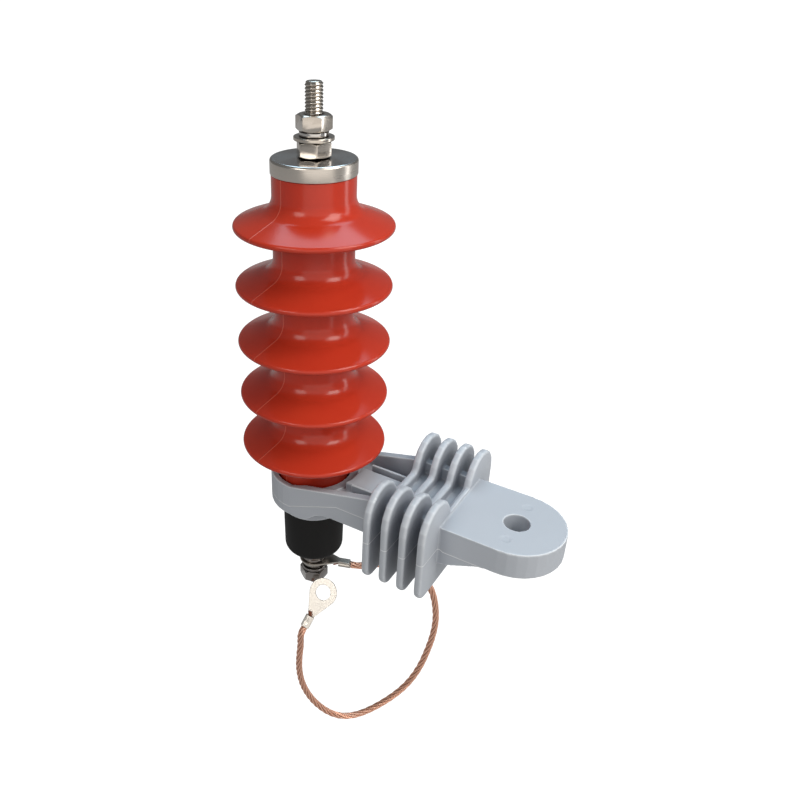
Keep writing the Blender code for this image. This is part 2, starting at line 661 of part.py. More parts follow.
def build_disconnector():
    """The black cup with its cover and, inside, the contact disc, resistor ring and cartridge."""
    height = DISCONNECTOR_HEIGHT
    shoulder = DISCONNECTOR_SHOULDER
    bore = DISCONNECTOR_FOOT_RADIUS - DISCONNECTOR_WALL
    profile = [(DISCONNECTOR_RADIUS, height)]
    profile += arc(DISCONNECTOR_FOOT_RADIUS - shoulder, shoulder, shoulder, 0.0, -math.pi / 2)
    profile += [(STUD_BORE, 0.0), (STUD_BORE, DISCONNECTOR_WALL), (bore, DISCONNECTOR_WALL), (bore, height)]
    cup = turned("disconnector_housing", profile, BLACK, closed=True)
    on_axis(smooth(cup), CUP_BOTTOM_Z)

    cover_top = height
    cover = turned_plain("disconnector_cover", bore - SEAT_GAP, cover_top, cover_top - COVER_THICK,
                         BLACK, bore=STUD_BORE, steps=INNER_STEPS)
    on_axis(smooth(cover), CUP_BOTTOM_Z)
    nut_z = CUP_BOTTOM_Z + cover_top - COVER_THICK - SEAT_GAP - THIN_NUT_HEIGHT
    on_axis(hexagon_nut("base_nut", THIN_NUT_HEIGHT, 0.0), nut_z)

    # Upwards from the cup's floor: stud head, cartridge in its recess, resistor ring, contact disc
    head_bottom = CUP_BOTTOM_Z + DISCONNECTOR_WALL + SEAT_GAP
    head_top = head_bottom + STUD_HEAD_THICK
    recess_radius = CARTRIDGE_RADIUS + BOLT_CLEARANCE
    foot = CUP_BOTTOM_Z - EARTH_STUD_DROP
    profile = [(0.0, head_top - STUD_HEAD_RECESS), (recess_radius, head_top - STUD_HEAD_RECESS),
               (recess_radius, head_top), (STUD_HEAD_RADIUS, head_top),
               (STUD_HEAD_RADIUS, head_bottom), (STUD_RADIUS, head_bottom),
               (STUD_RADIUS, foot + STUD_CHAMFER), (STUD_RADIUS - STUD_CHAMFER, foot), (0.0, foot)]
    earth_stud = turned("earth_stud", profile, STEEL, SMALL_STEPS)
    on_axis(smooth(earth_stud))
    cartridge_z = head_top - STUD_HEAD_RECESS + SEAT_GAP
    cartridge = turned_plain("cartridge", CARTRIDGE_RADIUS, CARTRIDGE_HEIGHT, 0.0, BRASS,
                             CARTRIDGE_CHAMFER, steps=SMALL_STEPS)
    on_axis(smooth(cartridge), cartridge_z)
    resistor_z = head_top + SEAT_GAP
    resistor = turned_plain("grading_resistor", RESISTOR_RADIUS, RESISTOR_HEIGHT, 0.0, OXIDE,
                            RESISTOR_CHAMFER, RESISTOR_BORE, steps=INNER_STEPS)
    on_axis(smooth(resistor), resistor_z)
    contact_z = resistor_z + RESISTOR_HEIGHT + SEAT_GAP
    contact = turned_plain("contact_disc", CONTACT_RADIUS, CONTACT_THICK, 0.0, BRASS,
                           steps=INNER_STEPS)
    on_axis(smooth(contact), contact_z)
    stud_top = HOUSING_BASE_Z + THREAD_DEPTH - SEAT_GAP
    stud("base_stud", stud_top, contact_z + CONTACT_THICK + SEAT_GAP)


def lug_outline():
    """Plan of a ring lug: a round eye that narrows in two tangent lines to a neck along +X."""
    half = LUG_NECK_WIDTH / 2
    touch = math.acos((LUG_RING_RADIUS - half) / LUG_BARREL_START)
    eye = arc(0.0, 0.0, LUG_RING_RADIUS, touch, math.tau - touch, ARC_STEPS * 5)
    return [(LUG_BARREL_END, -half), (LUG_BARREL_END, half), (LUG_BARREL_START, half)] + eye + [
        (LUG_BARREL_START, -half)]


def build_lug(name, matrix):
    """A ring lug: flat eye and neck with a crimp barrel under the neck, placed by a matrix.

    The eye's centre is the matrix's origin, the barrel runs along its +X on the -Z side. The
    crimp has pressed the barrel to an oval.
    """
    hole = arc(0.0, 0.0, LUG_HOLE_RADIUS, 0.0, math.tau, ARC_STEPS * 5)[:-1]
    plate = outline_solid(name, lug_outline(), LUG_THICK, Matrix.Identity(4), TIN, holes=[hole])
    length = LUG_BARREL_END - LUG_BARREL_START
    barrel = turned_plain(name + "_barrel", LUG_BARREL_HALF_WIDTH, length, 0.0)
    crimp = Matrix.Diagonal((1.0, 1.0, LUG_BARREL_HALF_HEIGHT / LUG_BARREL_HALF_WIDTH, 1.0))
    turn = Matrix.Rotation(math.pi / 2, 4, "Y")
    place = Matrix.Translation((LUG_BARREL_START, 0, -LUG_BARREL_HALF_HEIGHT))
    barrel.data.transform(place @ crimp @ turn)
    join(plate, barrel)
    plate.data.transform(matrix)
    return smooth(plate)


def lug_frame(centre, forward, normal):
    """Matrix with +X along the direction from the eye to the barrel and +Z out of the plate."""
    x_axis = forward.normalized()
    z_axis = (normal - x_axis * normal.dot(x_axis)).normalized()
    y_axis = z_axis.cross(x_axis)
    matrix = Matrix((x_axis, y_axis, z_axis)).transposed().to_4x4()
    matrix.translation = centre
    return matrix


def build_earth_terminal():
    """The hardware on the earth stud: jam nut, washer, lug, spring washer, washer and nut."""
    level = CUP_BOTTOM_Z - SEAT_GAP - NUT_HEIGHT
    on_axis(hexagon_nut("earth_jam_nut", NUT_HEIGHT, EARTH_NUT_TURN), level)
    level -= SEAT_GAP + WASHER_THICK
    on_axis(plain_washer("earth_plain_washer", WASHER_RADIUS), level)
    level -= SEAT_GAP + LUG_THICK
    centre = Vector((AXIS_X, 0.0, level + LUG_THICK / 2))
    forward = Vector((math.cos(EARTH_LUG_TURN), math.sin(EARTH_LUG_TURN), 0.0))
    build_lug("earth_lug", lug_frame(centre, forward, Vector((0, 0, 1))))
    level -= SEAT_GAP + SPRING_WASHER_THICK + FREE_WASHER_RISE
    on_axis(split_washer("earth_spring_washer", FREE_WASHER_RISE, 0.0), level)
    level -= SEAT_GAP + WASHER_THICK
    on_axis(plain_washer("earth_flat_washer", WASHER_RADIUS), level)
    level -= SEAT_GAP + NUT_HEIGHT
    on_axis(hexagon_nut("earth_nut", NUT_HEIGHT, EARTH_NUT_TURN), level)


def smooth_route(points, spacing):
    """Points at an even spacing on a Catmull-Rom curve through the route's own points."""
    padded = [points[0] * 2 - points[1]] + points + [points[-1] * 2 - points[-2]]
    fine = []
    for before, start, end, after in zip(padded, padded[1:], padded[2:], padded[3:]):
        for step in range(ARC_STEPS * 2):
            t = step / (ARC_STEPS * 2)
            fine.append(((start * 2) + (end - before) * t
                         + (before * 2 - start * 5 + end * 4 - after) * t * t
                         + (start * 3 - before - end * 3 + after) * t * t * t) / 2)
    fine.append(points[-1])
    even = [fine[0]]
    travelled = 0.0
    for previous, point in zip(fine, fine[1:]):
        travelled += (point - previous).length
        if travelled >= spacing:
            even.append(point)
            travelled = 0.0
    even[-1] = fine[-1]
    return even


def build_lead():
    """The stranded copper lead between the two lugs, and the free lug at its end."""
    forward = -Vector((math.cos(FREE_LUG_HEADING) * math.cos(FREE_LUG_ELEVATION),
                       math.sin(FREE_LUG_HEADING) * math.cos(FREE_LUG_ELEVATION),
                       math.sin(FREE_LUG_ELEVATION)))
    across = forward.cross(Vector((0, 0, 1))).normalized()
    facing = Matrix.Rotation(FREE_LUG_ROLL, 3, forward) @ forward.cross(across)
    frame = lug_frame(FREE_LUG_CENTRE, forward, facing)
    build_lug("free_lug", frame)

    earth_lug_z = CUP_BOTTOM_Z - SEAT_GAP * 3 - NUT_HEIGHT - WASHER_THICK - LUG_THICK / 2
    centre = Vector((AXIS_X, 0.0, earth_lug_z))
    turn = Vector((math.cos(EARTH_LUG_TURN), math.sin(EARTH_LUG_TURN), 0.0))
    mouth = LUG_BARREL_END + SEAT_GAP
    start = centre + turn * mouth - Vector((0, 0, LUG_BARREL_HALF_HEIGHT))
    end = frame @ Vector((mouth, 0.0, -LUG_BARREL_HALF_HEIGHT))
    straight = LEAD_DIAMETER * LEAD_STRAIGHT
    route = [start, start + turn * straight, start + turn * straight * 2]
    route += [Vector(point) * MM for point in LEAD_ROUTE_MM]
    route += [end + forward * straight * 2, end + forward * straight, end]

    curve = bpy.data.curves.new("earth_lead", "CURVE")
    curve.dimensions = "3D"
    curve.bevel_depth = LEAD_DIAMETER / 2
    curve.bevel_resolution = 2
    curve.use_fill_caps = True
    points = smooth_route(route, LEAD_DIAMETER * LEAD_POINT_SPACING)
    spline = curve.splines.new("POLY")
    spline.points.add(len(points) - 1)
    for point, place in zip(spline.points, points):
        point.co = (*place, 1.0)
    curve.materials.append(COPPER)
    lead = bpy.data.objects.new("earth_lead", curve)
    PARTS.objects.link(lead)


def main():
    """Build every piece."""
    build_bracket()
    build_housing()
    build_cap()
    build_line_terminal()
    build_disconnector()
    build_earth_terminal()
    build_lead()


main()
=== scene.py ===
"""Looks of a distribution surge arrester on its insulating bracket.

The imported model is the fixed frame. Each sub-assembly is a class that reads its place from the
frame, builds its fine meshes and dresses them. All lengths are in metres.
"""
from __future__ import annotations

import logging
import math
import random
from dataclasses import dataclass
from enum import Enum

import bmesh
import bpy
from mathutils import Matrix, Vector

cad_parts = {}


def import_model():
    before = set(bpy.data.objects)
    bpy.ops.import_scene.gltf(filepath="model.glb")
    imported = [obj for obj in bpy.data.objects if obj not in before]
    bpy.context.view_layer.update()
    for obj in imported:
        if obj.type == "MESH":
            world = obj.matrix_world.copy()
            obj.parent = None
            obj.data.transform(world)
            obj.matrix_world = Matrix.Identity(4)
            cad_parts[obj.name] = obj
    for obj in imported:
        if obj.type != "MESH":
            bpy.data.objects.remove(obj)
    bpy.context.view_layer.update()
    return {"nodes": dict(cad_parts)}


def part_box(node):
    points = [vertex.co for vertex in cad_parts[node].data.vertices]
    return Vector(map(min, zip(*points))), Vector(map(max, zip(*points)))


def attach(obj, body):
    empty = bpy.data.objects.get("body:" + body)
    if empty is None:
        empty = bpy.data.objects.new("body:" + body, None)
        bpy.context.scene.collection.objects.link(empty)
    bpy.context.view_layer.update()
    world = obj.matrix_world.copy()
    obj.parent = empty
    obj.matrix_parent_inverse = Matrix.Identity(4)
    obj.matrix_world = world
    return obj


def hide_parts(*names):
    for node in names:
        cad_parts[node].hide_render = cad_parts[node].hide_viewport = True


LOG = logging.getLogger("surge_arrester")
MM = 0.001
BODY = "root"
PICTURE_WIDTH = 800
MERGE = 0.002 * MM
SMOOTH_ANGLE = math.radians(35.0)
Point = tuple[float, float]
Place = tuple[float, float, float]


class Hand(Enum):
    """Which way a helix winds."""

    RIGHT = 1
    LEFT = -1


class Operation(Enum):
    """How a second shape changes the first."""

    UNION = "UNION"
    DIFFERENCE = "DIFFERENCE"
    INTERSECT = "INTERSECT"


class Effect(Enum):
    """The surface effects that materials share."""

    GRAIN = "surface_grain"
    SEAM = "parting_seam"
    # Brighter convex edges: wear, and painted highlight.
    EDGE = "rubbed_edges"
    CREVICE = "crevices"


# Shared shader groups


def node_in(tree: bpy.types.NodeTree, kind: str, **settings: object) -> bpy.types.Node:
    """Add a node to a tree.

    Args:
        tree: The node tree.
        kind: The node's type name.
        **settings: Attributes to set on it.

    Returns:
        The new node.
    """
    node = tree.nodes.new(kind)
    for name, value in settings.items():
        setattr(node, name, value)
    return node


def feed(tree: bpy.types.NodeTree, target: bpy.types.NodeSocket, value: object) -> None:
    """Link a socket to an input, or set the input to a plain value.

    Args:
        tree: The node tree.
        target: The input.
        value: The socket or the value.
    """
    if isinstance(value, bpy.types.NodeSocket):
        tree.links.new(value, target)
    else:
        target.default_value = value


def math_node(tree: bpy.types.NodeTree, operation: str, *operands: object) -> bpy.types.NodeSocket:
    """Add a Math node.

    Args:
        tree: The node tree.
        operation: The Math operation's name.
        *operands: Numbers, or sockets to link.

    Returns:
        The node's output socket.
    """
    node = node_in(tree, "ShaderNodeMath", operation=operation)
    for target, operand in zip(node.inputs, operands):
        feed(tree, target, operand)
    return node.outputs[0]


@dataclass(frozen=True)
class GroupPlan:
    """A shared effect and its sockets: plain numbers in, with their defaults, and masks out."""

    effect: Effect
    numbers: dict[str, float]
    outputs: tuple[str, ...]
    has_place: bool = False

    def start(self) -> tuple[bpy.types.NodeTree, bpy.types.Node, bpy.types.Node]:
        """Make the empty group.

        Returns:
            The tree, its input node and its output node.
        """
        tree = bpy.data.node_groups.new(self.effect.value, "ShaderNodeTree")
        if self.has_place:
            tree.interface.new_socket(name="Vector", in_out="INPUT", socket_type="NodeSocketVector")
        for name, value in self.numbers.items():
            socket = tree.interface.new_socket(name=name, in_out="INPUT", socket_type="NodeSocketFloat")
            socket.default_value = value
        for name in self.outputs:
            tree.interface.new_socket(name=name, in_out="OUTPUT", socket_type="NodeSocketFloat")
        return tree, node_in(tree, "NodeGroupInput"), node_in(tree, "NodeGroupOutput")


def grain_group() -> bpy.types.NodeTree:
    """Build the group for fine moulded or rolled grain.

    Returns:
        A group that turns a position into a grain height and a slow drift mask.
    """
    plan = GroupPlan(Effect.GRAIN, {"Fine Scale": 900.0, "Drift Scale": 40.0}, ("Height", "Drift"),
                     has_place=True)
    tree, start, end = plan.start()
    fine = node_in(tree, "ShaderNodeTexNoise")
    fine.inputs["Detail"].default_value = 3.0
    drift = node_in(tree, "ShaderNodeTexNoise")
    drift.inputs["Detail"].default_value = 4.0
    drift.inputs["Roughness"].default_value = 0.6
    for noise, scale in ((fine, "Fine Scale"), (drift, "Drift Scale")):
        tree.links.new(start.outputs["Vector"], noise.inputs["Vector"])
        tree.links.new(start.outputs[scale], noise.inputs["Scale"])
    tree.links.new(fine.outputs["Fac"], end.inputs["Height"])
    tree.links.new(drift.outputs["Fac"], end.inputs["Drift"])
    return tree


def seam_group() -> bpy.types.NodeTree:
    """Build the group for a mould's parting line.

    Returns:
        A group that turns a distance from the seam into a soft ridge from 0 to 1.
    """
    plan = GroupPlan(Effect.SEAM, {"Distance": 0.0, "Width": 0.3 * MM}, ("Ridge",))
    tree, start, end = plan.start()
    away = math_node(tree, "ABSOLUTE", start.outputs["Distance"])
    share = math_node(tree, "DIVIDE", away, start.outputs["Width"])
    fade = math_node(tree, "SUBTRACT", 1.0, share)
    clipped = math_node(tree, "MAXIMUM", fade, 0.0)
    ridge = math_node(tree, "SMOOTH_MIN", clipped, 0.85, 0.2)
    tree.links.new(ridge, end.inputs["Ridge"])
    return tree


def edge_group() -> bpy.types.NodeTree:
    """Build the group for convex edges that are painted brighter: wear, and painted highlight where light
    catches them.

    Returns:
        A group that gives a mask along convex edges.
    """
    plan = GroupPlan(Effect.EDGE, {"Start": 0.52, "Spread": 0.08}, ("Mask",))
    tree, start, end = plan.start()
    shape = node_in(tree, "ShaderNodeNewGeometry")
    over = math_node(tree, "SUBTRACT", shape.outputs["Pointiness"], start.outputs["Start"])
    share = math_node(tree, "DIVIDE", over, start.outputs["Spread"])
    low = math_node(tree, "MAXIMUM", share, 0.0)
    mask = math_node(tree, "MINIMUM", low, 1.0)
    tree.links.new(mask, end.inputs["Mask"])
    return tree


def crevice_group() -> bpy.types.NodeTree:
    """Build the group for grooves and gaps that light hardly reaches.

    Returns:
        A group that gives a mask, 1 in the depth of a crevice.
    """
    plan = GroupPlan(Effect.CREVICE, {"Reach": 1.0 * MM, "Power": 1.0}, ("Mask",))
    tree, start, end = plan.start()
    shade_node = node_in(tree, "ShaderNodeAmbientOcclusion", samples=8)
    tree.links.new(start.outputs["Reach"], shade_node.inputs["Distance"])
    open_share = math_node(tree, "POWER", shade_node.outputs["AO"], start.outputs["Power"])
    tree.links.new(math_node(tree, "SUBTRACT", 1.0, open_share), end.inputs["Mask"])
    return tree


class ShaderBox:
    """The shared groups, each built once."""

    groups: dict[Effect, bpy.types.NodeTree] = {}

    @classmethod
    def group(cls, effect: Effect) -> bpy.types.NodeTree:
        """Give the shared group of an effect, which is built at its first use.

        Args:
            effect: The effect.

        Returns:
            Its group.
        """
        if effect not in cls.groups:
            makers = {Effect.GRAIN: grain_group, Effect.SEAM: seam_group, Effect.EDGE: edge_group,
                      Effect.CREVICE: crevice_group}
            cls.groups[effect] = makers[effect]()
        return cls.groups[effect]


class Finish:
    """A material under construction: a Principled shader and the nodes that feed it."""

    def __init__(self, name: str) -> None:
        """Start an empty material.

        Args:
            name: The material's name.
        """
        self.material = bpy.data.materials.new(name)
        self.material.use_nodes = True
        self.tree = self.material.node_tree
        self.shader = self.tree.nodes["Principled BSDF"]
        coordinates = node_in(self.tree, "ShaderNodeTexCoord")
        self.place = coordinates.outputs["Object"]
        self.heights: list[bpy.types.NodeSocket] = []

    def set(self, **values: object) -> None:
        """Set the shader's own sockets; an underscore in a name stands for a space."""
        for name, value in values.items():
            self.shader.inputs[name.replace("_", " ")].default_value = value

    def group(self, effect: Effect, **values: object) -> bpy.types.Node:
        """Place a shared group.

        Args:
            effect: The effect that it makes.
            **values: Its inputs, as numbers or sockets; an underscore stands for a space.

        Returns:
            The group node.
        """
        node = node_in(self.tree, "ShaderNodeGroup")
        node.node_tree = ShaderBox.group(effect)
        for key, value in values.items():
            feed(self.tree, node.inputs[key.replace("_", " ")], value)
        return node

    def blend(self, mask: bpy.types.NodeSocket, first: object, second: object,
              strength: float = 1.0) -> bpy.types.NodeSocket:
        """Mix two colours by a mask.

        Args:
            mask: The mask's socket.
            first: Colour or socket at mask 0.
            second: Colour or socket at mask 1.
            strength: How much of the mask is used.

        Returns:
            The mixed colour.
        """
        node = node_in(self.tree, "ShaderNodeMix", data_type="RGBA")
        factor = math_node(self.tree, "MULTIPLY", mask, strength)
        self.tree.links.new(factor, node.inputs["Factor"])
        for target, value in ((node.inputs[6], first), (node.inputs[7], second)):
            feed(self.tree, target, (*value, 1.0) if isinstance(value, tuple) else value)
        return node.outputs[2]

    def spread(self, mask: bpy.types.NodeSocket, low: float, high: float) -> bpy.types.NodeSocket:
        """Map a mask from 0..1 to low..high."""
        scaled = math_node(self.tree, "MULTIPLY", mask, high - low)
        return math_node(self.tree, "ADD", scaled, low)

    def link(self, socket: bpy.types.NodeSocket, target: str) -> None:
        """Link a socket to one of the shader's inputs."""
        self.tree.links.new(socket, self.shader.inputs[target])

    def bump(self, height: bpy.types.NodeSocket, distance: float, strength: float = 1.0) -> None:
        """Add a bump under those that are there.

        Args:
            height: The height's socket, from 0 to 1.
            distance: The height in metres at 1.
            strength: The bump's strength.
        """
        node = node_in(self.tree, "ShaderNodeBump")
        node.inputs["Distance"].default_value = distance
        node.inputs["Strength"].default_value = strength
        self.tree.links.new(height, node.inputs["Height"])
        if self.heights:
            self.tree.links.new(self.heights[-1], node.inputs["Normal"])
        self.heights.append(node.outputs["Normal"])
        self.link(node.outputs["Normal"], "Normal")

    def ramp(self, value: bpy.types.NodeSocket, *ends: float) -> bpy.types.NodeSocket:
        """Map a value by its lowest, its highest and what those two become, clamped.

        Args:
            value: The value's socket.
            *ends: From low, from high, to low and to high.

        Returns:
            The mapped value.
        """
        node = node_in(self.tree, "ShaderNodeMapRange", clamp=True)
        for target, number in zip(node.inputs, (value, *ends)):
            feed(self.tree, target, number)
        return node.outputs[0]

    def part(self, axis: str) -> bpy.types.NodeSocket:
        """Give one coordinate of the surface's place, X, Y or Z.

        Args:
            axis: The coordinate's letter.

        Returns:
            The coordinate's socket.
        """
        split = node_in(self.tree, "ShaderNodeSeparateXYZ")
        self.tree.links.new(self.place, split.inputs[0])
        return split.outputs[axis]


# Finishes


@dataclass(frozen=True)
class SiliconeFinish:
    """Glossy moulded silicone rubber with a parting seam through the axis."""

    slot: str = "red_silicone"
    colour: Place = (0.51, 0.042, 0.0165)
    deep: Place = (0.435, 0.029, 0.0140)
    seam_colour: Place = (0.70, 0.14, 0.09)
    shaded: Place = (0.20, 0.010, 0.006)
    gap_reach: float = 9.0 * MM
    roughness: float = 0.19
    smoother: float = 0.05
    rougher: float = 0.07
    specular: float = 0.35
    fine_scale: float = 1400.0
    drift_scale: float = 28.0
    grain_depth: float = 0.012 * MM
    grain_strength: float = 0.5
    gap_share: float = 0.65
    seam_share: float = 0.75
    seam_turn: float = math.radians(-105.0)
    seam_width: float = 0.5 * MM
    seam_height: float = 0.12 * MM

    def build(self, axis_x: float) -> bpy.types.Material:
        """Make the material.

        Args:
            axis_x: Where the arrester's axis stands on X.

        Returns:
            The material.
        """
        finish = Finish("silicone_rubber")
        finish.set(Specular_IOR_Level=self.specular)
        grain = finish.group(Effect.GRAIN, Vector=finish.place, Fine_Scale=self.fine_scale,
                             Drift_Scale=self.drift_scale)
        across = math_node(finish.tree, "SUBTRACT", finish.part("X"), axis_x)
        first = math_node(finish.tree, "MULTIPLY", across, -math.sin(self.seam_turn))
        second = math_node(finish.tree, "MULTIPLY", finish.part("Y"), math.cos(self.seam_turn))
        distance = math_node(finish.tree, "ADD", first, second)
        seam = finish.group(Effect.SEAM, Distance=distance, Width=self.seam_width)
        body = finish.blend(grain.outputs["Drift"], self.deep, self.colour)
        gaps = finish.group(Effect.CREVICE, Reach=self.gap_reach, Power=1.0)
        body = finish.blend(gaps.outputs["Mask"], body, self.shaded, self.gap_share)
        body = finish.blend(seam.outputs["Ridge"], body, self.seam_colour, self.seam_share)
        finish.link(body, "Base Color")
        finish.link(finish.spread(grain.outputs["Drift"], self.roughness - self.smoother,
                                  self.roughness + self.rougher), "Roughness")
        finish.bump(grain.outputs["Height"], self.grain_depth, self.grain_strength)
        finish.bump(seam.outputs["Ridge"], self.seam_height)
        return finish.material


@dataclass(frozen=True)
class MouldingFinish:
    """Satin blue-grey moulding with a raised parting line along the bracket's sides."""

    slot: str = "grey_moulding"
    colour: Place = (0.430, 0.466, 0.516)
    pale: Place = (0.460, 0.496, 0.546)
    seam_colour: Place = (0.86, 0.88, 0.90)
    shaded: Place = (0.150, 0.165, 0.205)
    # Rim colour: painted highlight where light catches the rounded rims, with slight wear.
    rim: Place = (0.70, 0.74, 0.78)
    roughness: float = 0.42
    smoother: float = 0.06
    rougher: float = 0.08
    specular: float = 0.45
    fine_scale: float = 1100.0
    drift_scale: float = 22.0
    grain_depth: float = 0.02 * MM
    grain_strength: float = 0.5
    seam_width: float = 0.42 * MM
    seam_height: float = 0.2 * MM
    seam_share: float = 0.9
    side_slope: float = 0.6
    gap_reach: float = 13.0 * MM
    gap_power: float = 1.2
    gap_share: float = 0.6
    rim_start: float = 0.505
    rim_spread: float = 0.035
    rim_share: float = 0.7

    def build(self, seam: SeamLine) -> bpy.types.Material:
        """Make the material.

        Args:
            seam: The parting line's places.

        Returns:
            The material.
        """
        finish = Finish("moulded_compound")
        finish.set(Specular_IOR_Level=self.specular)
        tree = finish.tree
        grain = finish.group(Effect.GRAIN, Vector=finish.place, Fine_Scale=self.fine_scale,
                             Drift_Scale=self.drift_scale)
        along = finish.part("X")
        slope = finish.ramp(along, seam.low_x, seam.high_x, seam.low_z, seam.level_z)
        pad = finish.ramp(along, seam.pad_x, seam.pad_x + seam.step_length, 0.0, seam.pad_step)
        level = math_node(tree, "ADD", slope, pad)
        distance = math_node(tree, "SUBTRACT", finish.part("Z"), level)
        shape = node_in(tree, "ShaderNodeNewGeometry")
        facing = node_in(tree, "ShaderNodeSeparateXYZ")
        tree.links.new(shape.outputs["Normal"], facing.inputs[0])
        upright = math_node(tree, "ABSOLUTE", facing.outputs["Z"])
        side = math_node(tree, "LESS_THAN", upright, self.side_slope)
        ridge = finish.group(Effect.SEAM, Distance=distance, Width=self.seam_width).outputs["Ridge"]
        line = math_node(tree, "MULTIPLY", ridge, side)
        body = finish.blend(grain.outputs["Drift"], self.colour, self.pale)
        gaps = finish.group(Effect.CREVICE, Reach=self.gap_reach, Power=self.gap_power)
        body = finish.blend(gaps.outputs["Mask"], body, self.shaded, self.gap_share)
        # Paler rims: painted highlight on the rounded edges, with slight wear.
        rims = finish.group(Effect.EDGE, Start=self.rim_start, Spread=self.rim_spread)
        body = finish.blend(rims.outputs["Mask"], body, self.rim, self.rim_share)
        finish.link(finish.blend(line, body, self.seam_colour, self.seam_share), "Base Color")
        finish.link(finish.spread(grain.outputs["Drift"], self.roughness - self.smoother,
                                  self.roughness + self.rougher), "Roughness")
        finish.bump(grain.outputs["Height"], self.grain_depth, self.grain_strength)
        finish.bump(line, self.seam_height)
        return finish.material


@dataclass(frozen=True)
class SteelFinish:
    """Stainless or spring steel, from mirror bright to satin, with fine turning or rolling lines."""

    name: str
    slot: str = "stainless_steel"
    colour: Place = (0.64, 0.61, 0.57)
    edge_colour: Place = (0.82, 0.80, 0.77)
    roughness: float = 0.18
    line_depth: float = 0.004 * MM
    stretch: float = 12.0
    # Painted shade: the dark colour that the crevice mask lays into threads and gaps, not dirt.
    painted_shade: Place = (0.10, 0.085, 0.07)
    turned: float = 0.0
    fine_scale: float = 420.0
    drift_scale: float = 70.0
    line_strength: float = 0.6
    shade_reach: float = 1.5 * MM
    edge_share: float = 0.5
    smoothest: float = 0.75
    roughest: float = 1.35

    def build(self, axis_x: float) -> bpy.types.Material:
        """Make the material.

        Args:
            axis_x: Where the hardware's axis stands on X.

        Returns:
            The material.
        """
        finish = Finish(self.name)
        finish.set(Metallic=1.0)
        tree = finish.tree
        mapping = node_in(tree, "ShaderNodeMapping")
        mapping.inputs["Location"].default_value = (-axis_x, 0.0, 0.0)
        mapping.inputs["Scale"].default_value = (1.0, 1.0, self.stretch)
        tree.links.new(finish.place, mapping.inputs["Vector"])
        grain = finish.group(Effect.GRAIN, Vector=mapping.outputs["Vector"],
                             Fine_Scale=self.fine_scale, Drift_Scale=self.drift_scale)
        edges = finish.group(Effect.EDGE)
        crevice_shade = finish.group(Effect.CREVICE, Reach=self.shade_reach, Power=1.0)
        # Paler colour on convex edges.
        body = finish.blend(edges.outputs["Mask"], self.colour, self.edge_colour, self.edge_share)
        # Painted shade in grooves and gaps, from the occlusion mask.
        finish.link(finish.blend(crevice_shade.outputs["Mask"], body, self.painted_shade), "Base Color")
        finish.link(finish.spread(grain.outputs["Drift"], self.roughness * self.smoothest,
                                  self.roughness * self.roughest), "Roughness")
        if self.turned:
            around = node_in(tree, "ShaderNodeTangent", direction_type="RADIAL", axis="Z")
            tree.links.new(around.outputs["Tangent"], finish.shader.inputs["Tangent"])
            finish.set(Anisotropic=self.turned)
        finish.bump(grain.outputs["Height"], self.line_depth, self.line_strength)
        return finish.material


@dataclass(frozen=True)
class PlainMetalFinish:
    """Copper, tinned copper, aluminium or brass with a slight drift of colour."""

    name: str
    slot: str
    colour: Place
    darker: Place
    roughness: float = 0.3
    drift_scale: float = 90.0
    fine_scale: float = 1500.0
    depth: float = 0.01 * MM
    metallic: float = 1.0
    # Painted shade: the dark colour laid into the grooves between strands.
    crevice_shade: Place = (0.20, 0.05, 0.02)
    crevice_reach: float = 0.0
    crevice_power: float = 1.6
    brightened: float = 1.15
    edge_share: float = 0.4
    smoothest: float = 0.8
    roughest: float = 1.3
    grain_strength: float = 0.6

    def build(self) -> bpy.types.Material:
        """Make the material.

        Returns:
            The material.
        """
        finish = Finish(self.name)
        finish.set(Metallic=self.metallic)
        grain = finish.group(Effect.GRAIN, Vector=finish.place, Fine_Scale=self.fine_scale,
                             Drift_Scale=self.drift_scale)
        edges = finish.group(Effect.EDGE)
        body = finish.blend(grain.outputs["Drift"], self.darker, self.colour)
        bright = tuple(min(1.0, value * self.brightened) for value in self.colour)
        # Paler colour on convex edges.
        edged = finish.blend(edges.outputs["Mask"], body, bright, self.edge_share)
        if self.crevice_reach:
            deep = finish.group(Effect.CREVICE, Reach=self.crevice_reach, Power=self.crevice_power)
            # Painted shade in the grooves, from the occlusion mask.
            edged = finish.blend(deep.outputs["Mask"], edged, self.crevice_shade)
        finish.link(edged, "Base Color")
        finish.link(finish.spread(grain.outputs["Drift"], self.roughness * self.smoothest,
                                  self.roughness * self.roughest), "Roughness")
        finish.bump(grain.outputs["Height"], self.depth, self.grain_strength)
        return finish.material


@dataclass(frozen=True)
class DullFinish:
    """A dull moulded or sintered surface with fine grain."""

    name: str
    slot: str
    colour: Place
    paler: Place
    roughness: float = 0.6
    fine_scale: float = 1300.0
    depth: float = 0.03 * MM
    drift_scale: float = 45.0
    drift: float = 0.06
    grain_strength: float = 0.7
    specular: float = 0.22

    def build(self) -> bpy.types.Material:
        """Make the material.

        Returns:
            The material.
        """
        finish = Finish(self.name)
        finish.set(Specular_IOR_Level=self.specular)
        grain = finish.group(Effect.GRAIN, Vector=finish.place, Fine_Scale=self.fine_scale,
                             Drift_Scale=self.drift_scale)
        finish.link(finish.blend(grain.outputs["Drift"], self.colour, self.paler), "Base Color")
        finish.link(finish.spread(grain.outputs["Drift"], self.roughness - self.drift,
                                  self.roughness + self.drift), "Roughness")
        finish.bump(grain.outputs["Height"], self.depth, self.grain_strength)
        return finish.material


@dataclass(frozen=True)
class SeamLine:
    """Where the bracket's parting line runs: a slope on the ring, then level, with a step at the pad."""

    low_x: float
    high_x: float
    low_z: float
    level_z: float
    pad_x: float
    pad_step: float
    step_length: float = 2.0 * MM


# Mesh tools


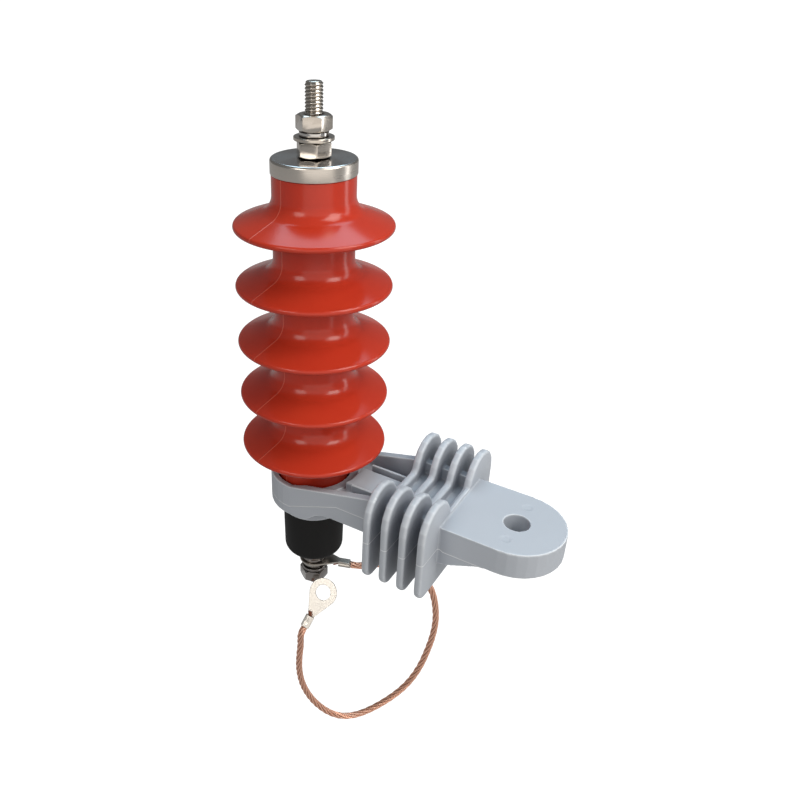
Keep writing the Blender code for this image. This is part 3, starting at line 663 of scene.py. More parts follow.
def arc(centre: Point, radius: float, start: float, end: float, steps: int) -> list[Point]:
    """Points on an arc, both ends included.

    Args:
        centre: The arc's centre.
        radius: Its radius.
        start: The first angle, in radians.
        end: The last angle, in radians.
        steps: How many chords it has.

    Returns:
        The points.
    """
    angles = [start + (end - start) * step / steps for step in range(steps + 1)]
    return [(centre[0] + radius * math.cos(a), centre[1] + radius * math.sin(a)) for a in angles]


def placed(name: str, data: bpy.types.ID) -> bpy.types.Object:
    """Make an object in the scene.

    Args:
        name: Its name.
        data: Its mesh, curve, light or camera.

    Returns:
        The object.
    """
    item = bpy.data.objects.new(name, data)
    bpy.context.scene.collection.objects.link(item)
    return item


def on_circle(axis_x: float, radius: float, angle: float, z: float) -> Vector:
    """Give a point round an upright axis."""
    return Vector((axis_x + radius * math.cos(angle), radius * math.sin(angle), z))


def band(first: int, second: int, count: int) -> list[tuple[int, ...]]:
    """Give the faces between two rings of as many vertices, each named by its first number."""
    return [(first + step, first + (step + 1) % count, second + (step + 1) % count, second + step)
            for step in range(count)]


def mesh_piece(name: str, verts: list[Vector], faces: list[tuple[int, ...]],
               smooth_angle: float = SMOOTH_ANGLE) -> bpy.types.Object:
    """Make a mesh object and shade it.

    Args:
        name: The piece's name.
        verts: Its vertices.
        faces: Its faces, as vertex numbers.
        smooth_angle: Faces that meet at less than this shade smoothly.

    Returns:
        The object.
    """
    mesh = bpy.data.meshes.new(name)
    mesh.from_pydata([tuple(v) for v in verts], [], faces)
    mesh.validate()
    return shade(placed(name, mesh), smooth_angle)


def shade(item: bpy.types.Object, angle: float = SMOOTH_ANGLE) -> bpy.types.Object:
    """Shade an object smooth between faces that meet at less than the angle.

    Args:
        item: The object.
        angle: The angle, in radians.

    Returns:
        The object.
    """
    item.data.shade_smooth()
    item.data.set_sharp_from_angle(angle=angle)
    return item


def clean(mesh: bpy.types.Mesh, merge: float = 0.0, fill: bool = False) -> None:
    """Turn a mesh's faces outwards.

    Args:
        mesh: The mesh.
        merge: Points nearer to each other than this become one.
        fill: Whether faces without width go, and open borders are closed.
    """
    bm = bmesh.new()
    bm.from_mesh(mesh)
    if merge:
        bmesh.ops.remove_doubles(bm, verts=bm.verts, dist=merge)
    if fill:
        bmesh.ops.dissolve_degenerate(bm, edges=bm.edges, dist=merge)
        bmesh.ops.holes_fill(bm, edges=[edge for edge in bm.edges if edge.is_boundary], sides=0)
    bmesh.ops.recalc_face_normals(bm, faces=bm.faces)
    bm.to_mesh(mesh)
    bm.free()


def turned(name: str, profile: list[Point], axis_x: float, base_z: float, steps: int = 128,
           closed: bool = False) -> bpy.types.Object:
    """Turn a profile about an upright axis.

    Args:
        name: The piece's name.
        profile: Points of (radius, height), down the outer side. A radius of 0 is a pole.
        axis_x: The axis's place on X.
        base_z: What is added to each height.
        steps: How many steps go round.
        closed: Whether the last point joins the first, as on a ring.

    Returns:
        The object.
    """
    verts: list[Vector] = []
    rows: list[list[int]] = []
    for radius, height in profile:
        if radius <= 0.0:
            rows.append([len(verts)] * steps)
            verts.append(Vector((axis_x, 0.0, base_z + height)))
            continue
        rows.append(list(range(len(verts), len(verts) + steps)))
        verts += [on_circle(axis_x, radius, math.tau * step / steps, base_z + height)
                  for step in range(steps)]
    pairs = list(zip(rows, rows[1:]))
    if closed:
        pairs.append((rows[-1], rows[0]))
    faces = []
    for upper, lower in pairs:
        for step in range(steps):
            after = (step + 1) % steps
            corners = [upper[step], lower[step], lower[after], upper[after]]
            faces.append(tuple(dict.fromkeys(corners)))
    return mesh_piece(name, verts, [face for face in faces if len(face) > 2])


def evaluated(item: bpy.types.Object) -> bpy.types.Mesh:
    """Give the mesh that an object has with its modifiers."""
    graph = bpy.context.evaluated_depsgraph_get()
    return bpy.data.meshes.new_from_object(item.evaluated_get(graph))


def apply_modifiers(item: bpy.types.Object) -> None:
    """Write an object's modifiers into its mesh.

    Args:
        item: The object.
    """
    mesh = evaluated(item)
    item.modifiers.clear()
    item.data = mesh


def boolean(item: bpy.types.Object, other: bpy.types.Object, operation: Operation) -> None:
    """Join, cut or intersect an object with another, which is used up.

    Args:
        item: The object that is changed.
        other: The other shape.
        operation: What the other shape does.
    """
    modifier = item.modifiers.new("shape", "BOOLEAN")
    modifier.object = other
    modifier.operation = operation.value
    modifier.solver = "EXACT"
    apply_modifiers(item)
    bpy.data.objects.remove(other, do_unlink=True)


def remesh(item: bpy.types.Object, voxel: float, rounds: int) -> None:
    """Rebuild an object as an even fine mesh with eased corners.

    Args:
        item: The object.
        voxel: The mesh's fineness.
        rounds: How often its corners are eased.
    """
    fine = item.modifiers.new("fine", "REMESH")
    fine.mode = "VOXEL"
    fine.voxel_size = voxel
    ease = item.modifiers.new("ease", "SMOOTH")
    ease.factor = 0.5
    ease.iterations = rounds
    apply_modifiers(item)


def dress(item: bpy.types.Object, material: bpy.types.Material, slot: str, *nodes: str) -> bpy.types.Object:
    """Give a piece its material, attach it to the body and hide the CAD nodes that it stands for.

    Args:
        item: The piece.
        material: Its material.
        slot: The record's slot; not used.
        *nodes: The CAD nodes, none where another piece already stands for them.

    Returns:
        The piece.
    """
    item.data.materials.clear()
    item.data.materials.append(material)
    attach(item, BODY)
    if nodes:
        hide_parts(*nodes)
    LOG.info("%s: %d faces", item.name, len(item.data.polygons))
    return item


def seat_levels(node: str) -> tuple[float, float]:
    """Give the lowest and highest level of a CAD node."""
    low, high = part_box(node)
    return low.z, high.z


# Camera, floor and lights


@dataclass(frozen=True)
class Softbox:
    """A rectangular soft light that faces the arrester's middle."""

    name: str
    where: Place
    size: Point
    power: float
    colour: Place


@dataclass
class Studio:
    """The camera at the photograph's angle, a pale floor and soft lights.

    Places are given from the arrester's axis at the lowest shed's level: right and back as the camera
    sees them, and up.
    """

    axis_x: float
    shed_above_pad: float = 9.3 * MM
    bracket_turn: float = math.radians(-33.59)
    camera_back: float = 424.76 * MM
    camera_up: float = 273.41 * MM
    look_down: float = math.radians(30.17)
    focal_pixels: float = 789.38
    axis_pixel_x: float = 314.0
    sensor_mm: float = 36.0
    floor_drop: float = 0.62
    floor_half: float = 30.0
    backdrop: float = 1.1
    floor_light: float = 0.15
    floor_mirrored: float = 0.36
    room_light: float = 0.20
    room_mirrored: float = 0.17
    floor_grey: float = 0.12
    room_colour: Place = (0.96, 0.98, 1.0)
    aim_up: float = 0.03
    softboxes: tuple[Softbox, ...] = (
        Softbox("key_softbox", (0.75, -0.45, 1.00), (0.6, 0.8), 11.0, (1.0, 0.97, 0.92)),
        Softbox("top_softbox", (0.1, 0.55, 1.25), (1.1, 0.6), 8.0, (0.62, 0.84, 1.0)),
        Softbox("front_softbox", (0.25, -1.28, 0.35), (2.4, 1.6), 10.5, (1.0, 0.94, 0.88)),
        Softbox("left_softbox", (-0.69, -0.83, 0.75), (0.5, 0.5), 3.3, (1.0, 0.97, 0.93)),
        Softbox("right_strip", (1.1, 0.10, 0.25), (0.2, 1.2), 2.4, (1.0, 1.0, 1.0)),
        Softbox("low_strip", (0.62, -0.50, -0.42), (0.10, 0.5), 0.25, (1.0, 0.97, 0.94)),
    )

    def place(self, right: float, back: float, up: float) -> Vector:
        """Turn a place seen from the camera into one in the frame.

        Args:
            right: How far to the right of the arrester's axis.
            back: How far behind it.
            up: How far above the lowest shed.

        Returns:
            The place.
        """
        cos, sin = math.cos(self.bracket_turn), math.sin(self.bracket_turn)
        return Vector((right * cos + back * sin + self.axis_x, back * cos - right * sin,
                       up + self.shed_above_pad))

    def heading(self, right: float, back: float, up: float) -> Vector:
        """Turn a direction seen from the camera into one in the frame."""
        return self.place(right, back, up) - self.place(0.0, 0.0, 0.0)

    def build(self) -> None:
        """Make the camera, floor, world and lights."""
        self._camera()
        self._floor()
        self._world()
        for box in self.softboxes:
            self._hang(box)

    def _camera(self) -> None:
        """Set up the photograph's camera."""
        data = bpy.data.cameras.new("photo_camera")
        data.sensor_width = self.sensor_mm
        data.lens = self.sensor_mm * self.focal_pixels / PICTURE_WIDTH
        data.shift_x = (PICTURE_WIDTH / 2 - self.axis_pixel_x) / PICTURE_WIDTH
        data.clip_start = 0.01
        item = placed("photo_camera", data)
        right = self.heading(1.0, 0.0, 0.0)
        ahead = self.heading(0.0, math.cos(self.look_down), -math.sin(self.look_down))
        up = right.cross(ahead)
        matrix = Matrix((right, up, -ahead)).transposed().to_4x4()
        matrix.translation = self.place(0.0, -self.camera_back, self.camera_up)
        item.matrix_world = matrix
        bpy.context.scene.camera = item

    def _seen_white(self, tree: bpy.types.NodeTree, strength: float,
                    mirrored: float) -> bpy.types.NodeSocket:
        """Give a strength that is white where the camera looks at it and low as a light.

        Args:
            tree: The node tree of the floor or the world.
            strength: Its strength as a light.
            mirrored: Its strength in shiny surfaces.

        Returns:
            The strength's socket.
        """
        rays = node_in(tree, "ShaderNodeLightPath")
        seen = math_node(tree, "MULTIPLY", rays.outputs["Is Camera Ray"], self.backdrop - strength)
        shiny = math_node(tree, "MULTIPLY", rays.outputs["Is Glossy Ray"], mirrored - strength)
        return math_node(tree, "ADD", math_node(tree, "ADD", seen, shiny), strength)

    def _floor(self) -> None:
        """Lay the pale floor far enough below that no hard shadow shows."""
        half = self.floor_half
        corners = [Vector((x, y, -self.floor_drop)) for x, y in
                   ((-half, -half), (half, -half), (half, half), (-half, half))]
        floor = mesh_piece("studio_floor", corners, [(0, 1, 2, 3)])
        material = bpy.data.materials.new("pale_floor")
        material.use_nodes = True
        tree = material.node_tree
        shader = tree.nodes["Principled BSDF"]
        shader.inputs["Base Color"].default_value = (self.floor_grey,) * 3 + (1.0,)
        shader.inputs["Roughness"].default_value = 1.0
        shader.inputs["Specular IOR Level"].default_value = 0.0
        shader.inputs["Emission Color"].default_value = (1.0, 1.0, 1.0, 1.0)
        strength = self._seen_white(tree, self.floor_light, self.floor_mirrored)
        tree.links.new(strength, shader.inputs["Emission Strength"])
        floor.data.materials.append(material)

    def _world(self) -> None:
        """Surround the object with an even dim room that the camera sees as white."""
        scene = bpy.context.scene
        world = bpy.data.worlds.new("studio")
        scene.world = world
        world.use_nodes = True
        background = world.node_tree.nodes["Background"]
        background.inputs["Color"].default_value = (*self.room_colour, 1.0)
        strength = self._seen_white(world.node_tree, self.room_light, self.room_mirrored)
        world.node_tree.links.new(strength, background.inputs["Strength"])
        scene.view_settings.view_transform = "Standard"

    def _hang(self, box: Softbox) -> None:
        """Hang one softbox, out of the camera's sight.

        Args:
            box: The softbox.
        """
        data = bpy.data.lights.new(box.name, "AREA")
        data.shape = "RECTANGLE"
        data.size, data.size_y = box.size
        data.energy = box.power
        data.color = box.colour
        item = placed(box.name, data)
        item.location = self.place(*box.where)
        aim = self.place(0.0, 0.0, self.aim_up) - item.location
        item.rotation_euler = aim.to_track_quat("-Z", "Y").to_euler()
        item.visible_camera = False


# Sub-assemblies


@dataclass
class ShedHousing:
    """The silicone housing with its sheds."""

    axis_x: float
    stem_radius: float = 23.2 * MM
    shed_radius: float = 45.0 * MM
    count: int = 5
    last_from_top: float = 35.08 * MM
    first: float = 37.6 * MM
    tip_round: float = 1.8 * MM
    under_rise: float = 1.2 * MM
    under_fillet: float = 2.5 * MM
    slope: float = math.radians(21.0)
    root_fillet: float = 10.0 * MM
    neck_radius: float = 22.4 * MM
    neck_height: float = 7.2 * MM
    edge: float = 0.8 * MM
    stud_bore: float = 5.2 * MM
    stud_depth: float = 22.0 * MM
    steps: int = 192
    finish: SiliconeFinish = SiliconeFinish()

    def shed(self, rim: float) -> list[Point]:
        """Give one shed's outer line, from the stem above to the stem below.

        Args:
            rim: The height of the shed's widest level.

        Returns:
            The points, downwards.
        """
        tip = self.shed_radius - self.tip_round
        outward = math.pi / 2 - self.slope
        fillet = self.stem_radius + self.root_fillet
        reach = self.tip_round + self.root_fillet
        fillet_z = rim + (reach + (tip - fillet) * math.cos(outward)) / math.sin(outward)
        root = arc((fillet, fillet_z), self.root_fillet, math.pi, math.pi * 1.5 - self.slope, 16)
        top = arc((tip, rim), self.tip_round, outward, -math.pi / 2, 12)
        under_z = rim - self.tip_round + self.under_rise
        under = arc((self.stem_radius + self.under_fillet, under_z - self.under_fillet),
                    self.under_fillet, math.pi / 2, math.pi, 6)
        return root + top + under

    def build(self) -> None:
        """Build the housing and dress it."""
        base, top = seat_levels("shed_housing")
        height = top - base
        shoulder = height - self.neck_height
        pitch = (height - self.first - self.last_from_top) / (self.count - 1)
        bore, depth = self.stud_bore, self.stud_depth
        profile = [(0.0, height - depth), (bore, height - depth), (bore, height),
                   (self.neck_radius - self.edge, height), (self.neck_radius, height - self.edge),
                   (self.neck_radius, shoulder), (self.stem_radius, shoulder)]
        for number in reversed(range(self.count)):
            profile += self.shed(self.first + number * pitch)
        profile += [(self.stem_radius, self.edge), (self.stem_radius - self.edge, 0.0),
                    (bore, 0.0), (bore, depth), (0.0, depth)]
        housing = turned("silicone_housing", profile, self.axis_x, base, self.steps)
        dress(housing, self.finish.build(self.axis_x), self.finish.slot, "shed_housing")


@dataclass
class Bracket:
    """The insulating bracket: the frame's own solid with the soft corners of a moulding."""

    axis_x: float
    voxel: float = 0.5 * MM
    smooth_rounds: int = 5
    face_limit: int = 190_000
    slope_from: float = -1.4 * MM
    slope_to: float = 34.7 * MM
    slope_foot_z: float = -29.5 * MM
    seam_z: float = -15.2 * MM
    pad_from: float = 104.0 * MM
    pad_step: float = -1.1 * MM
    finish: MouldingFinish = MouldingFinish()

    def build(self, source: bpy.types.Object) -> None:
        """Remesh the solid finely, ease its corners and dress it.

        Args:
            source: The frame's bracket.
        """
        piece = placed("bracket_moulding", source.data.copy())
        self._soften(piece)
        seam = SeamLine(self.axis_x + self.slope_from, self.axis_x + self.slope_to, self.slope_foot_z,
                        self.seam_z, self.axis_x + self.pad_from, self.pad_step)
        dress(piece, self.finish.build(seam), self.finish.slot, "bracket")

    def _soften(self, piece: bpy.types.Object) -> None:
        """Give the solid a fine mesh within the face limit.

        Args:
            piece: The bracket.
        """
        remesh(piece, self.voxel, self.smooth_rounds)
        triangles = 2 * len(piece.data.polygons)
        if triangles > self.face_limit:
            thin = piece.modifiers.new("thin", "DECIMATE")
            thin.ratio = self.face_limit / triangles
            apply_modifiers(piece)
        piece.data.shade_smooth()


@dataclass
class ThreadedStud:
    """A stud with a real helical thread."""

    name: str
    radius: float = 4.85 * MM
    depth: float = 0.62 * MM
    pitch: float = 1.75 * MM
    root_share: float = 0.12
    flank_share: float = 0.76
    chamfer: float = 1.1 * MM
    phases: tuple[float, ...] = (0.0, 0.1, 0.3, 0.5, 0.7, 0.9)
    around: int = 40
    smooth_angle: float = math.radians(50.0)
    hand: Hand = Hand.RIGHT

    def thread_depth(self, phase: float) -> float:
        """Give the depth under the crest at a share of one pitch."""
        flank = abs(phase - 0.5) * 2.0
        return self.depth * (1.0 - min(1.0, max(0.0, (flank - self.root_share) / self.flank_share)))

    def vertex(self, row: int, step: int) -> int:
        """Give a vertex's number. Past the last step it is one turn higher."""
        turn, step = divmod(step, self.around)
        return (row + turn * len(self.phases)) * self.around + step

    def build(self, axis_x: float, low: float, high: float, top_free: bool,
              bottom_free: bool) -> bpy.types.Object:
        """Build the threaded rod between two levels.

        Args:
            axis_x: The axis's place on X.
            low: The lower end's level.
            high: The upper end's level.
            top_free: Whether the upper end is chamfered.
            bottom_free: Whether the lower end is chamfered.

        Returns:
            The stud.
        """
        turns = int((high - low) / self.pitch) + 3
        rows = [(turn - 1 + phase, phase) for turn in range(turns) for phase in self.phases]
        verts: list[Vector] = []
        for climb, phase in rows:
            for step in range(self.around):
                share = step / self.around
                z = low + (climb + self.hand.value * share) * self.pitch
                z = min(high, max(low, z))
                radius = self.radius - self.thread_depth(phase)
                if top_free:
                    radius = min(radius, self.radius - self.chamfer + (high - z))
                if bottom_free:
                    radius = min(radius, self.radius - self.chamfer + (z - low))
                verts.append(on_circle(axis_x, radius, math.tau * share, z))
        faces = [(self.vertex(row, step), self.vertex(row, step + 1),
                  self.vertex(row + 1, step + 1), self.vertex(row + 1, step))
                 for row in range(len(rows) - 1) for step in range(self.around)
                 if self.vertex(row + 1, step + 1) < len(verts)]
        item = mesh_piece(self.name, verts, faces, self.smooth_angle)
        clean(item.data, MERGE, fill=True)
        return shade(item, self.smooth_angle)


@dataclass
class Nut:
    """A hexagon nut with chamfered corners and a countersunk hole."""

    across_flats: float = 17.0 * MM
    chamfer_radius: float = 8.0 * MM
    chamfer_angle: float = math.radians(30.0)
    bore: float = 5.05 * MM
    countersink: float = 0.7 * MM
    cutter_over: float = 1.0 * MM
    cutter_share: float = 1.2
    edge: float = 0.28 * MM
    edge_angle: float = math.radians(28.0)

    def build(self, name: str, node: str, axis_x: float, turn: float) -> bpy.types.Object:
        """Build a nut in the place of a CAD node.

        Args:
            name: The piece's name.
            node: The CAD node it stands for.
            axis_x: The axis's place on X.
            turn: The turn of its corners from +X.

        Returns:
            The nut.
        """
        low, high = seat_levels(node)
        height = high - low
        corner = self.across_flats / 2 / math.cos(math.pi / 6)
        verts = [on_circle(0.0, corner, turn + math.tau * side / 6, z)
                 for z in (0.0, height) for side in range(6)]
        nut = mesh_piece(name, verts, [tuple(reversed(range(6))), tuple(range(6, 12)), *band(0, 6, 6)])
        reach = corner * self.cutter_share
        drop = (reach - self.chamfer_radius) * math.tan(self.chamfer_angle)
        rim = [(0.0, height), (self.chamfer_radius, height), (reach, height - drop), (reach, drop),
               (self.chamfer_radius, 0.0), (0.0, 0.0)]
        boolean(nut, turned(name + "_rim", rim, 0.0, 0.0, 96), Operation.INTERSECT)
        over = self.cutter_over
        sink = self.bore + self.countersink
        hole = [(0.0, height + over), (sink + over, height + over), (self.bore, height - self.countersink),
                (self.bore, self.countersink), (sink + over, -over), (0.0, -over)]
        boolean(nut, turned(name + "_hole", hole, 0.0, 0.0, 64), Operation.DIFFERENCE)
        self._round(nut)
        nut.data.transform(Matrix.Translation((axis_x, 0.0, low)))
        return nut

    def _round(self, nut: bpy.types.Object) -> None:
        """Round the nut's sharp edges.

        Args:
            nut: The nut.
        """
        bevel = nut.modifiers.new("round", "BEVEL")
        bevel.width = self.edge
        bevel.segments = 2
        bevel.limit_method = "ANGLE"
        bevel.angle_limit = self.edge_angle
        bevel.use_clamp_overlap = True
        apply_modifiers(nut)
        shade(nut)


@dataclass(frozen=True)
class FlatWasher:
    """A plain washer with rounded outer edges."""

    outer: float
    rounding: float
    inner: float = 5.2 * MM
    steps: int = 96

    def build(self, name: str, node: str, axis_x: float) -> bpy.types.Object:
        """Build the washer in the place of a CAD node.

        Args:
            name: The piece's name.
            node: The CAD node it stands for.
            axis_x: The axis's place on X.

        Returns:
            The washer.
        """
        low, high = seat_levels(node)
        height = high - low
        reach = self.outer - self.rounding
        profile = arc((reach, height - self.rounding), self.rounding, math.pi / 2, 0.0, 5)
        profile += arc((reach, self.rounding), self.rounding, 0.0, -math.pi / 2, 5)
        profile += [(self.inner, 0.0), (self.inner, height)]
        return turned(name, profile, axis_x, low, self.steps, closed=True)


@dataclass
class SpringWasher:
    """A split spring washer: a square wire wound for just under one turn."""

    outer: float = 7.9 * MM
    inner: float = 5.15 * MM
    thick: float = 2.15 * MM
    round: float = 0.25 * MM
    turn: float = math.radians(346.0)
    steps: int = 96

    def build(self, name: str, node: str, axis_x: float, start: float, rise: float) -> bpy.types.Object:
        """Build the washer in the place of a CAD node.

        Args:
            name: The piece's name.
            node: The CAD node it stands for.
            axis_x: The axis's place on X.
            start: The angle of its lower end.
            rise: How much higher its upper end lies.

        Returns:
            The washer.
        """
        low, high = seat_levels(node)
        thick = min(self.thick, high - low - rise)
        corner = self.round
        near, far = self.inner + corner, self.outer - corner
        below, above = corner, thick - corner
        section: list[Point] = []
        for quarter, centre in enumerate(((far, above), (near, above), (near, below), (far, below))):
            section += arc(centre, corner, quarter * math.pi / 2, (quarter + 1) * math.pi / 2, 3)
        verts: list[Vector] = []
        for step in range(self.steps + 1):
            share = step / self.steps
            verts += [on_circle(axis_x, radius, start + self.turn * share, low + rise * share + height)
                      for radius, height in section]
        count = len(section)
        faces: list[tuple[int, ...]] = []
        for step in range(self.steps):
            faces += band(step * count, (step + 1) * count, count)
        faces.append(tuple(range(count)))
        faces.append(tuple(reversed(range(self.steps * count, (self.steps + 1) * count))))
        washer = mesh_piece(name, verts, faces)
        clean(washer.data)
        return shade(washer)


@dataclass
class LineTerminal:
    """The cap, stud, nuts and washers on top."""

    axis_x: float
    cap_radius: float = 23.7 * MM
    cap_wall: float = 1.0 * MM
    cap_round: float = 1.6 * MM
    cap_flat: float = 0.6
    cap_foot: float = 0.3 * MM
    top_slope: float = 0.8
    stud_bore: float = 5.2 * MM
    lower_nut_turn: float = math.radians(13.3)
    upper_nut_turn: float = math.radians(26.4)
    split_turn: float = math.radians(14.0)
    washer: FlatWasher = FlatWasher(outer=10.9 * MM, rounding=0.35 * MM, steps=128)
    bright: SteelFinish = SteelFinish("bright_steel", roughness=0.2, colour=(0.57, 0.52, 0.46))
    mirror: SteelFinish = SteelFinish("polished_cap", roughness=0.15, colour=(0.62, 0.61, 0.60),
                                      stretch=1.0, line_depth=0.002 * MM, turned=0.85)
    satin: SteelFinish = SteelFinish("satin_band", roughness=0.28, colour=(0.60, 0.555, 0.50),
                                     line_depth=0.01 * MM, stretch=30.0)
    spring: SteelFinish = SteelFinish("spring_steel", slot="spring_steel", colour=(0.56, 0.54, 0.52),
                                      roughness=0.2)

    def build(self) -> None:
        """Build the cap and what is on it."""
        self._cap()
        bright = self.bright.build(self.axis_x)
        low, high = seat_levels("line_stud")
        stud = ThreadedStud("line_stud_thread").build(self.axis_x, low, high, True, False)
        dress(stud, bright, "stainless_steel", "line_stud")
        for name, node, turn in (("lower_line_nut", "line_jam_nut", self.lower_nut_turn),
                                 ("upper_line_nut", "line_terminal_nut", self.upper_nut_turn)):
            dress(Nut().build(name, node, self.axis_x, turn), bright, "stainless_steel", node)
        washer = self.washer.build("wide_line_washer", "line_flat_washer", self.axis_x)
        dress(washer, bright, "stainless_steel", "line_flat_washer")
        split = SpringWasher().build("split_line_washer", "line_spring_washer", self.axis_x,
                                     self.split_turn, 0.0)
        dress(split, self.spring.build(self.axis_x), "spring_steel", "line_spring_washer")

    def _cap(self) -> None:
        """Build the drawn cup: a mirror top and a satin band."""
        low, high = seat_levels("top_cap")
        height = high - low
        inside = self.cap_radius - self.cap_wall
        foot = self.cap_foot
        profile = [(self.stud_bore, height), (self.cap_radius * self.cap_flat, height)]
        profile += arc((self.cap_radius - self.cap_round, height - self.cap_round), self.cap_round,
                       math.pi / 2, 0.0, 12)
        profile += arc((self.cap_radius - foot, foot), foot, 0.0, -math.pi / 2, 4)
        profile += [(inside, 0.0), (inside, height - self.cap_wall), (self.stud_bore, height - self.cap_wall)]
        cap = turned("drawn_cap", profile, self.axis_x, low, 192, closed=True)
        dress(cap, self.mirror.build(self.axis_x), "stainless_steel", "top_cap")
        cap.data.materials.append(self.satin.build(self.axis_x))
        for face in cap.data.polygons:
            if abs(face.normal.z) < self.top_slope:
                face.material_index = 1


@dataclass
class Disconnector:
    """The black cup below the bracket."""

    axis_x: float
    top_radius: float = 20.3 * MM
    foot_radius: float = 19.8 * MM
    shoulder: float = 5.0 * MM
    wall: float = 3.0 * MM
    bore: float = 5.2 * MM
    rim: float = 0.5 * MM
    finish: DullFinish = DullFinish("black_moulding", "black_moulding", (0.006, 0.006, 0.006),
                                    (0.009, 0.009, 0.009), roughness=0.6)

    def build(self) -> bpy.types.Material:
        """Build the cup and give its material, which its cover shares.

        Returns:
            The material.
        """
        low, high = seat_levels("disconnector_housing")
        height = high - low
        inside = self.foot_radius - self.wall
        profile = arc((self.top_radius - self.rim, height - self.rim), self.rim, math.pi / 2, 0.0, 4)
        profile += arc((self.foot_radius - self.shoulder, self.shoulder), self.shoulder, 0.0,
                       -math.pi / 2, 16)
        profile += [(self.bore, 0.0), (self.bore, self.wall), (inside, self.wall), (inside, height)]
        cup = turned("disconnector_cup", profile, self.axis_x, low, 160, closed=True)
        material = self.finish.build()
        dress(cup, material, self.finish.slot, "disconnector_housing")
        return material


